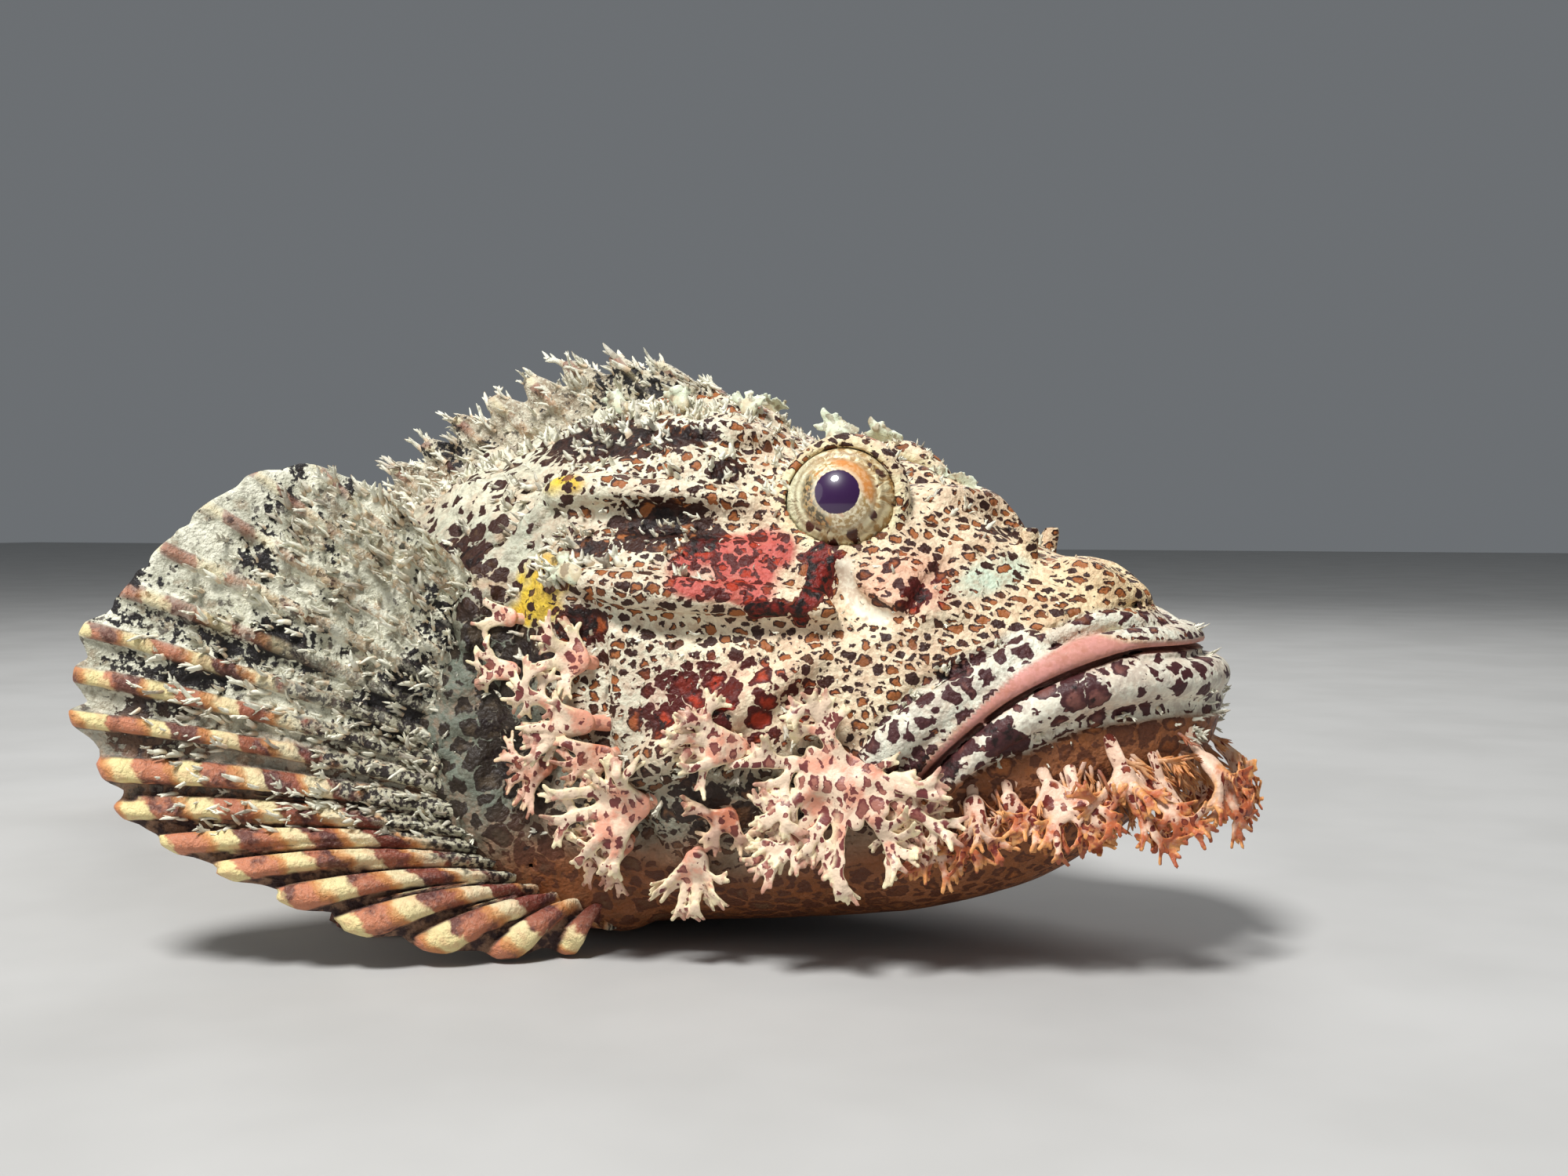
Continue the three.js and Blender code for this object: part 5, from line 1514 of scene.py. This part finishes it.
THROAT_TASSELS = [
    (-68.5, 24.5, [[-5.5, 1.5, 2.5], [-3.5, -3, 2.5], [1, -3.5, 2.5]], dict(lace=1)),
    (-86, 32.5, [[-6.5, -1.5, 2], [-4, -4.5, 2], [-7, 2, 2.5]], dict(lace=1)),
    (-96, 31, [[-7, -3.5, 2.5], [-4, -6, 2.5], [-7, 0.5, 2.5]], dict(lace=1, thick=0.85)),
    (-62, 26, [[-3, -3.5, 2.5], [1, -4, 2.5], [-1, -5, 3]], dict(lace=1, thick=0.8)),
    (-84, 20, [[-6.5, -3, 3], [-3.5, -5.5, 3], [-6, 1, 3]], dict(lace=1, thick=0.9)),
]
LID_FLAP = dict(finger=0.5, thick=1.0, lace=1, web=3, stalk=0.4)
BROW_FLAP = dict(finger=0.5, thick=0.7, lace=1, web=3)
SMALL_FLAP = dict(finger=0.5, thick=0.6, lace=1)
BROW_FLAPS = [
    (-58.6, (12.6, 77.2), [[-2.6, 6, 0.4], [-1.4, 5.2, 0.5], [0, 4.2, 0.4], [1.6, 3, 0.5]],
     LID_FLAP),
    (-46, 75, [[-1.2, 3, 0.4], [0.4, 2.6, 0.5]], BROW_FLAP),
    (-41.6, 73, [[-1, 2.8, 0.4], [0.8, 2.4, 0.5]], BROW_FLAP),
    (-92, 58, [[-4.6, 1.2, 0.8], [-3.6, 3, 0.8]], dict(BROW_FLAP, thick=0.65)),
    (-66, 80, [[-1.8, 1.6, 0.5], [-0.4, 2, 0.6]], SMALL_FLAP),
    (-77, 83.4, [[-2.4, 2.4, 0.6], [-0.4, 3, 0.8], [1.2, 2, 1]], SMALL_FLAP),
    (-97, 84, [[-3.6, 2, 0.6], [-2, 2.6, 0.8]], SMALL_FLAP),
    (-86, 84.2, [[-2.8, 2.2, 0.6], [-0.6, 2.6, 0.8]], SMALL_FLAP),
]
tassel_piece("tassels_cheek", TASSEL, CHEEK_TASSELS, 100)
tassel_piece("tassels_throat", TASSEL_THROAT, THROAT_TASSELS, 200)
tassel_piece("tassels_chin", TASSEL_CHIN, CHIN_TASSELS, 300)
tassel_piece("flaps_brow", FLAP_PALE, BROW_FLAPS, 500, (0.1, 1, 0.2))

# Small flaps and threads of skin

THREAD_SIDES = 5


def thread(line, radii):
    """Points, faces and how far along each point is, of one tapered thread."""
    line = np.array(line, float)
    ahead = unit(np.gradient(line, axis=0))
    side = unit(np.cross(ahead, [0.3, 1, 0.1]))
    other = np.cross(ahead, side) * 0.6
    turn = np.linspace(0, 2 * math.pi, THREAD_SIDES, endpoint=False)[None, :, None]
    ring = side[:, None] * np.cos(turn) + other[:, None] * np.sin(turn)
    points = (line[:, None] + ring * np.array(radii)[:, None, None]).reshape(-1, 3)
    quads = quad_grid(len(line), THREAD_SIDES, closed=True)[:, [0, 3, 2, 1]]
    return points, quads, np.repeat(np.linspace(0, 1, len(line)), THREAD_SIDES)


def flap_shape(seed, forks):
    """A small forked flap one unit tall, as one of a set of shapes."""
    random = np.random.default_rng(seed)
    lean = random.normal(0, 0.16, 2)
    t = np.linspace(0, 1, 6)
    curl = stack(lean[0] * t**2, lean[1] * t**2 + 0.05 * np.sin(5 * t), t)
    threads = [thread(curl - [0, 0, 0.12], [0.2, 0.18, 0.165, 0.14, 0.11, 0.035])]
    for _ in range(forks):
        start = random.uniform(0.3, 0.8)
        at = np.array([lean[0] * start**2, lean[1] * start**2, start - 0.12])
        turn = random.uniform(0, 2 * math.pi)
        way = np.array([math.cos(turn), 0.5 * math.sin(turn), random.uniform(0.5, 1.1)])
        far = random.uniform(0.25, 0.5) * (1.15 - 0.4 * start)
        u = np.linspace(0, 1, 4)[:, None]
        line = at + unit(way) * far * u + u**2 * [0, 0, 0.12]
        p, quads, run = thread(line, [0.12, 0.105, 0.085, 0.025])
        threads.append((p, quads, 0.5 + 0.5 * run))
    return *join_meshes([part[:2] for part in threads]), np.concatenate([run for *_, run in threads])


FLAPS = [flap_shape(40 + k, forks) for k, forks in enumerate((0, 1, 2, 2, 3, 4, 5, 7))]


def flap_piece(name, material, rows):
    """Many flaps as one mesh. A row is a place, a direction, a length, a
    stoutness, a shape, a shade and a place on the skin's map."""
    random = np.random.default_rng(len(rows))
    darker = [-0.1, 0, 0.1, 0.35, 0.7]
    chances = [0.3, 0.3, 0.2, 0.13, 0.07]
    map_size = 0.003
    parts, forms, places = [], [], []
    for at, way, length, stout, shape, shade, patch in rows:
        p, quads, along = FLAPS[shape]
        up = unit(way)
        side = unit(np.cross(up, random.normal(0, 1, 3)))
        axes = np.array([side * stout, np.cross(up, side) * stout, up]) * length
        parts.append((at + p @ axes, quads))
        shade = np.clip(shade + random.choice(darker, p=chances), 0, 1)
        forms.append(stack(along, shade, 0))
        face = p[:, [0, 2]] - p[:, [0, 2]].min(0)
        places.append(patch + (face / face.max() - 0.5) * map_size)
    p, quads = join_meshes(parts)
    p[:, 2] = np.maximum(p[:, 2], FLOOR_GAP)
    obj = make_mesh(name, p, material, quads)
    set_colour(obj, "form", np.concatenate(forms))
    set_map(obj, np.clip(np.concatenate(places), 0.001, 0.999))


def map_place(x, angle):
    """A place on the map of the flaps, laid out as the skin under them is."""
    back, front = -240, 5
    return np.array([(x - back) / (front - back), angle / (2 * math.pi)])


def flaps_on_skin(places, lie, length, stout, shade, seed, shapes, vary=0.35, sunk=0.3):
    """Flaps on both sides at [x, z] places, as rows for flap_piece. They lie
    forward, out of the skin and up by the three numbers of lie."""
    random = np.random.default_rng(seed)
    places = np.array(places, float)
    at, out, angle = on_skin(places[:, 0], places[:, 1])
    rows = []
    for k in range(len(places)):
        for _, way in SIDES:
            mirror = MIRROR if way < 0 else 1
            side_out = out[k] * mirror
            direction = side_out * lie[1] + [lie[0], 0, lie[2]] + random.normal(0, vary, 3)
            base = bend(at[k] * mirror - side_out * sunk)
            if at[k][0] < BEND_START:
                direction = unit(bend(at[k] * mirror + direction) - bend(at[k] * mirror))
            size = length * random.uniform(0.6, 1.25)
            patch = map_place(at[k][0], angle[k] if way > 0 else 2 * math.pi - angle[k])
            rows.append((base, direction, size, stout, random.choice(shapes), shade, patch))
    return rows


def flaps_along(line, count, width, lie, length, stout, shade, seed, shapes, vary=0.35):
    """Flaps scattered about a line of [x, z] places."""
    random = np.random.default_rng(seed)
    points = smooth_line(line, 60)
    pick = points[random.integers(0, len(points), count)]
    places = pick + random.normal(0, width, (count, 2))
    return flaps_on_skin(places, lie, length, stout, shade, seed, shapes, vary)


def flaps_on_lids(count, first, last, length, seed, out=0.35, shapes=(0, 1, 2, 3)):
    """Flaps round the rim of each eye between two angles, in degrees from its
    front over its top."""
    random = np.random.default_rng(seed)
    rim_radius = 9.8
    rows = []
    up = unit(np.array([0, 0, 1]) - EYE_FACING * EYE_FACING[2])
    fore = unit(np.cross(up, EYE_FACING))
    if fore[0] < 0:
        fore = -fore
    for _, way in SIDES:
        mirror = np.array([1, way, 1])
        patch = np.array([0.75, 0.3 if way < 0 else 0.7])
        for k in range(count):
            share = (k + random.uniform(-0.3, 0.3)) / (count - 1)
            angle = math.radians(first + (last - first) * share)
            radial = fore * math.cos(angle) + up * math.sin(angle)
            at = EYE + radial * rim_radius + EYE_FACING * random.uniform(0, 1.6)
            direction = radial + EYE_FACING * out + random.normal(0, 0.25, 3)
            size = length * random.uniform(0.6, 1.3)
            rows.append((at * mirror, direction * mirror, size, 1.0, random.choice(shapes), 0, patch))
    return rows


# Lines that flaps stand on: [x, z] places, how many, how wide, lie, length,
# stoutness, shade, seed and shapes
HEAD_FLAPS = (
    # Snout, brow, crown and temple
    ([[-31, 64], [-34, 68], [-42, 71]], 34, 1.6, (0.5, 0.4, 0.8), 1.9, 1.2, 0.1, 4, (0, 1, 2, 3)),
    ([[-44, 74], [-50, 79]], 12, 1.2, (0, 0.4, 1), 2.4, 1.2, 0, 5, (2, 3, 4)),
    ([[-62, 78], [-72, 81], [-80, 83], [-90, 84]], 76, 2.2, (-0.3, 0.6, 1), 2.5, 1.5, 0.05, 6,
     (3, 4, 5, 6, 7)),
    ([[-66, 74], [-84, 78], [-102, 80]], 64, 3, (-0.4, 0.8, 0.8), 2.1, 1.5, 0.1, 7, (2, 3, 4, 5)),
    ([[-70, 71], [-84, 72], [-97, 72.5], [-105, 71]], 44, 1.6, (-0.5, 0.8, 0.6), 2.3, 1.2, 0.1, 8,
     (1, 2, 3, 4)),
    # The ridge behind the eye
    ([[-74, 57.5], [-84, 59], [-93, 59.5], [-100, 59]], 34, 1.3, (-0.5, 0.7, 0.6), 2.6, 1.5, 0, 9,
     (2, 3, 4, 5)),
    ([[-74, 66], [-86, 66], [-98, 66]], 34, 2.6, (-0.5, 0.9, 0.4), 1.7, 1.2, 0.1, 10, (1, 2, 3)),
    # Upper jaw, under the lower lip, and the chin's tip
    ([[-30, 49.5], [-38, 45.5], [-46, 40]], 24, 1, (0.2, 0.7, 0.5), 1.5, 1.3, 0, 11, (1, 2, 3)),
    ([[-10, 39.6], [-22, 37.6], [-32, 33.4]], 14, 0.7, (0.2, 0.8, -0.3), 1.5, 1.2, 0, 12, (1, 2, 3)),
    ([[-4.2, 41.5], [-5, 38], [-6.5, 35]], 22, 1, (1, 0.5, 0.1), 2.3, 1, 0.1, 13, (2, 3, 4)),
    # Cheek and gill cover
    ([[-56, 37], [-66, 35], [-76, 32], [-84, 29]], 30, 2.4, (-0.3, 0.9, -0.3), 2.4, 1.3, 0.1, 14,
     (2, 3, 4, 5)),
    ([[-60, 44], [-74, 46], [-86, 44]], 26, 4, (-0.3, 0.9, 0), 1.4, 1.3, 0, 15, (1, 2, 3)),
    (GILL_EDGE[1:-1], 44, 0.8, (-1, 0.6, 0), 2.7, 1.1, 0.15, 16, (2, 3, 4)),
    ([[-96, 62], [-104, 66], [-110, 70]], 30, 2.4, (-0.6, 0.8, 0.4), 2.4, 1.2, 0.2, 17,
     (2, 3, 4, 5)),
)


def head_flaps():
    rows = flaps_on_lids(34, 12, 168, 1.9, 1, shapes=(1, 2, 3, 4))
    rows += flaps_on_lids(4, 84, 112, 2.2, 2, 0.1, (4, 5))
    rows += flaps_on_lids(7, 200, 330, 1.5, 3, 0.6)
    for row in HEAD_FLAPS:
        rows += flaps_along(*row)
    snout = [[-5, 52], [-8, 53]]
    rows += flaps_on_skin(snout, (0.9, 0.3, 0.5), 3.6, 0.7, 0, 18, (3, 4), 0.15)
    return rows


random = np.random.default_rng(19)
rows = head_flaps()
scatter = np.c_[random.uniform(-88, -20, 150), random.uniform(30, 68, 150)]
rows += flaps_on_skin(scatter, (-0.2, 1, 0), 1.0, 1.2, 0.05, 20, (0, 1, 2))
flap_piece("flaps_head", CIRRI, rows)

# The body's flaps, scattered over its sides and thicker along its crest
scatter = np.c_[random.uniform(-228, -98, 560), random.uniform(0.12, 0.97, 560)]
extent = read_table(STATIONS, scatter[:, 0])
scatter[:, 1] = extent[:, 1] + (extent[:, 0] - extent[:, 1]) * scatter[:, 1]
rows = flaps_on_skin(scatter, (-0.7, 0.9, 0.2), 2.3, 1.2, 0.2, 21, (1, 2, 3, 4, 5))
crest = random.uniform(-205, -74, 160)
crest = np.c_[crest, read_table(STATIONS, crest)[:, 0] - 1.2]
rows += flaps_on_skin(crest, (-0.5, 0.5, 1), 2.7, 1.6, 0.1, 22, (3, 4, 5, 6, 7))
flap_piece("flaps_body", CIRRI, rows)

rows = flaps_along([[-6, 33], [-10, 31], [-15, 31], [-19, 28], [-14, 27]], 80, 1.9,
                   (0.45, 0.35, -0.9), 4.8, 0.5, 0.25, 23, (4, 5, 6, 7), 0.4)
rows += flaps_along([[-20, 29], [-30, 26], [-40, 22]], 40, 2,
                    (0.3, 0.35, -1), 4.2, 0.5, 0.25, 24, (4, 5, 6, 7), 0.4)
flap_piece("threads_chin", TASSEL_CHIN, rows)


def fin_flaps(name, count, length, seed, shade, reach=(0.1, 0.97), both=True, tips=0, upper=1.0):
    """Flaps that grow from a fin's faces, or its outer one alone, and from its
    edge. reach is along the rays, and upper the share of rays that have them."""
    random = np.random.default_rng(seed)
    way, (middle, normal, half) = fins[name]
    curved = "_left" not in name and "_right" not in name
    columns, tall = middle.shape[:2]
    rows = []
    for k in range(count + tips):
        if k < count:
            i = int(random.uniform(0, upper) ** 1.1 * columns)
            j = int(random.uniform(*reach) * (tall - 1))
        else:
            i, j = int(random.integers(0, columns)), tall - 2
        sign = random.choice([-1, 1]) if both else 1
        outward = normal[i, j] * sign
        at = middle[i, j] + outward * half[i, j] * 0.85
        ahead = unit(middle[i, min(j + 2, tall - 1)] - middle[i, j - 2])
        direction = ahead * (1 if k < count else 2) + outward * 0.8 + random.normal(0, 0.3, 3)
        if curved:
            direction = unit(bend(at + direction) - bend(at))
            at = bend(at)
        if way < 0:
            at, direction = at * MIRROR, direction * MIRROR
        if at[2] < 2 and direction[2] < 0:
            continue
        size = length * random.uniform(0.5, 1.3)
        shape = random.choice([0, 1, 2, 3, 4])
        rows.append((at, direction, size, 0.9, shape, shade, np.array([i / columns, j / tall])))
    return rows


rows = []
for side, _ in SIDES:
    rows += fin_flaps("pectoral_fin_" + side, 620, 2.7, 31, 0, (0.05, 0.88), False, upper=0.66)
rows += fin_flaps("dorsal_fin_spiny", 320, 2.8, 32, 0.1, (0.25, 0.99), tips=110)
rows += fin_flaps("dorsal_fin_soft", 60, 2, 33, 0.15, (0.3, 0.99), tips=20)
rows += fin_flaps("caudal_fin", 60, 1.8, 34, 0.15)
flap_piece("flaps_fins", CIRRI, rows)

# Floor, light and camera


def aimed(way):
    """The turn that points a lamp in a direction."""
    way = unit(way)
    return math.acos(-way[2]), 0, math.atan2(way[1], way[0]) - math.pi / 2


def make_stage():
    n = Nodes("floor_pale")
    n.finish(n.wash((0.44, 0.435, 0.42), (0.48, 0.475, 0.46), n.noise(0.02, 3.0), 0.3, 0.7), 0.8)
    far = 3
    corners = [(-far, -far, 0), (far, -far, 0), (far, far, 0), (-far, far, 0)]
    mesh = bpy.data.meshes.new("floor")
    mesh.from_pydata(corners, [], [(0, 1, 2, 3)])
    mesh.materials.append(n.material)
    floor = bpy.data.objects.new("floor", mesh)
    bpy.context.scene.collection.objects.link(floor)
    world = bpy.data.worlds.new("studio")
    world.use_nodes = True
    back = world.node_tree.nodes["Background"]
    back.inputs["Color"].default_value = (0.88, 0.94, 1.0, 1)
    back.inputs["Strength"].default_value = 0.17
    bpy.context.scene.world = world
    bpy.context.scene.view_settings.view_transform = "Standard"
    middle = np.array([0.02, 0, 0.04])
    for name, at, size, power in (
        ("key", (-0.02, -0.62, 1.0), 0.3, 17.0),
        ("fill", (-0.60, -0.50, 0.30), 0.7, 1.3),
        ("rim", (-0.1, 0.6, 0.6), 0.6, 2.5),
    ):
        light = bpy.data.lights.new(name, "AREA")
        light.shape = "DISK"
        light.size = size
        light.energy = power
        lamp = bpy.data.objects.new(name, light)
        lamp.location = at
        lamp.rotation_euler = aimed(middle - at)
        bpy.context.scene.collection.objects.link(lamp)


def make_camera():
    """The photo's camera: 2.5 degrees down, and 20 degrees round from the side."""
    camera = bpy.data.cameras.new("camera")
    camera.lens = 38.61
    camera.sensor_width = 36
    camera.clip_start = 0.01
    obj = bpy.data.objects.new("camera", camera)
    obj.location = to_part([22.19, -260.39, 68.02])
    obj.rotation_euler = (math.radians(87.5), 0, math.radians(20))
    bpy.context.scene.collection.objects.link(obj)
    bpy.context.scene.camera = obj


make_stage()
make_camera()
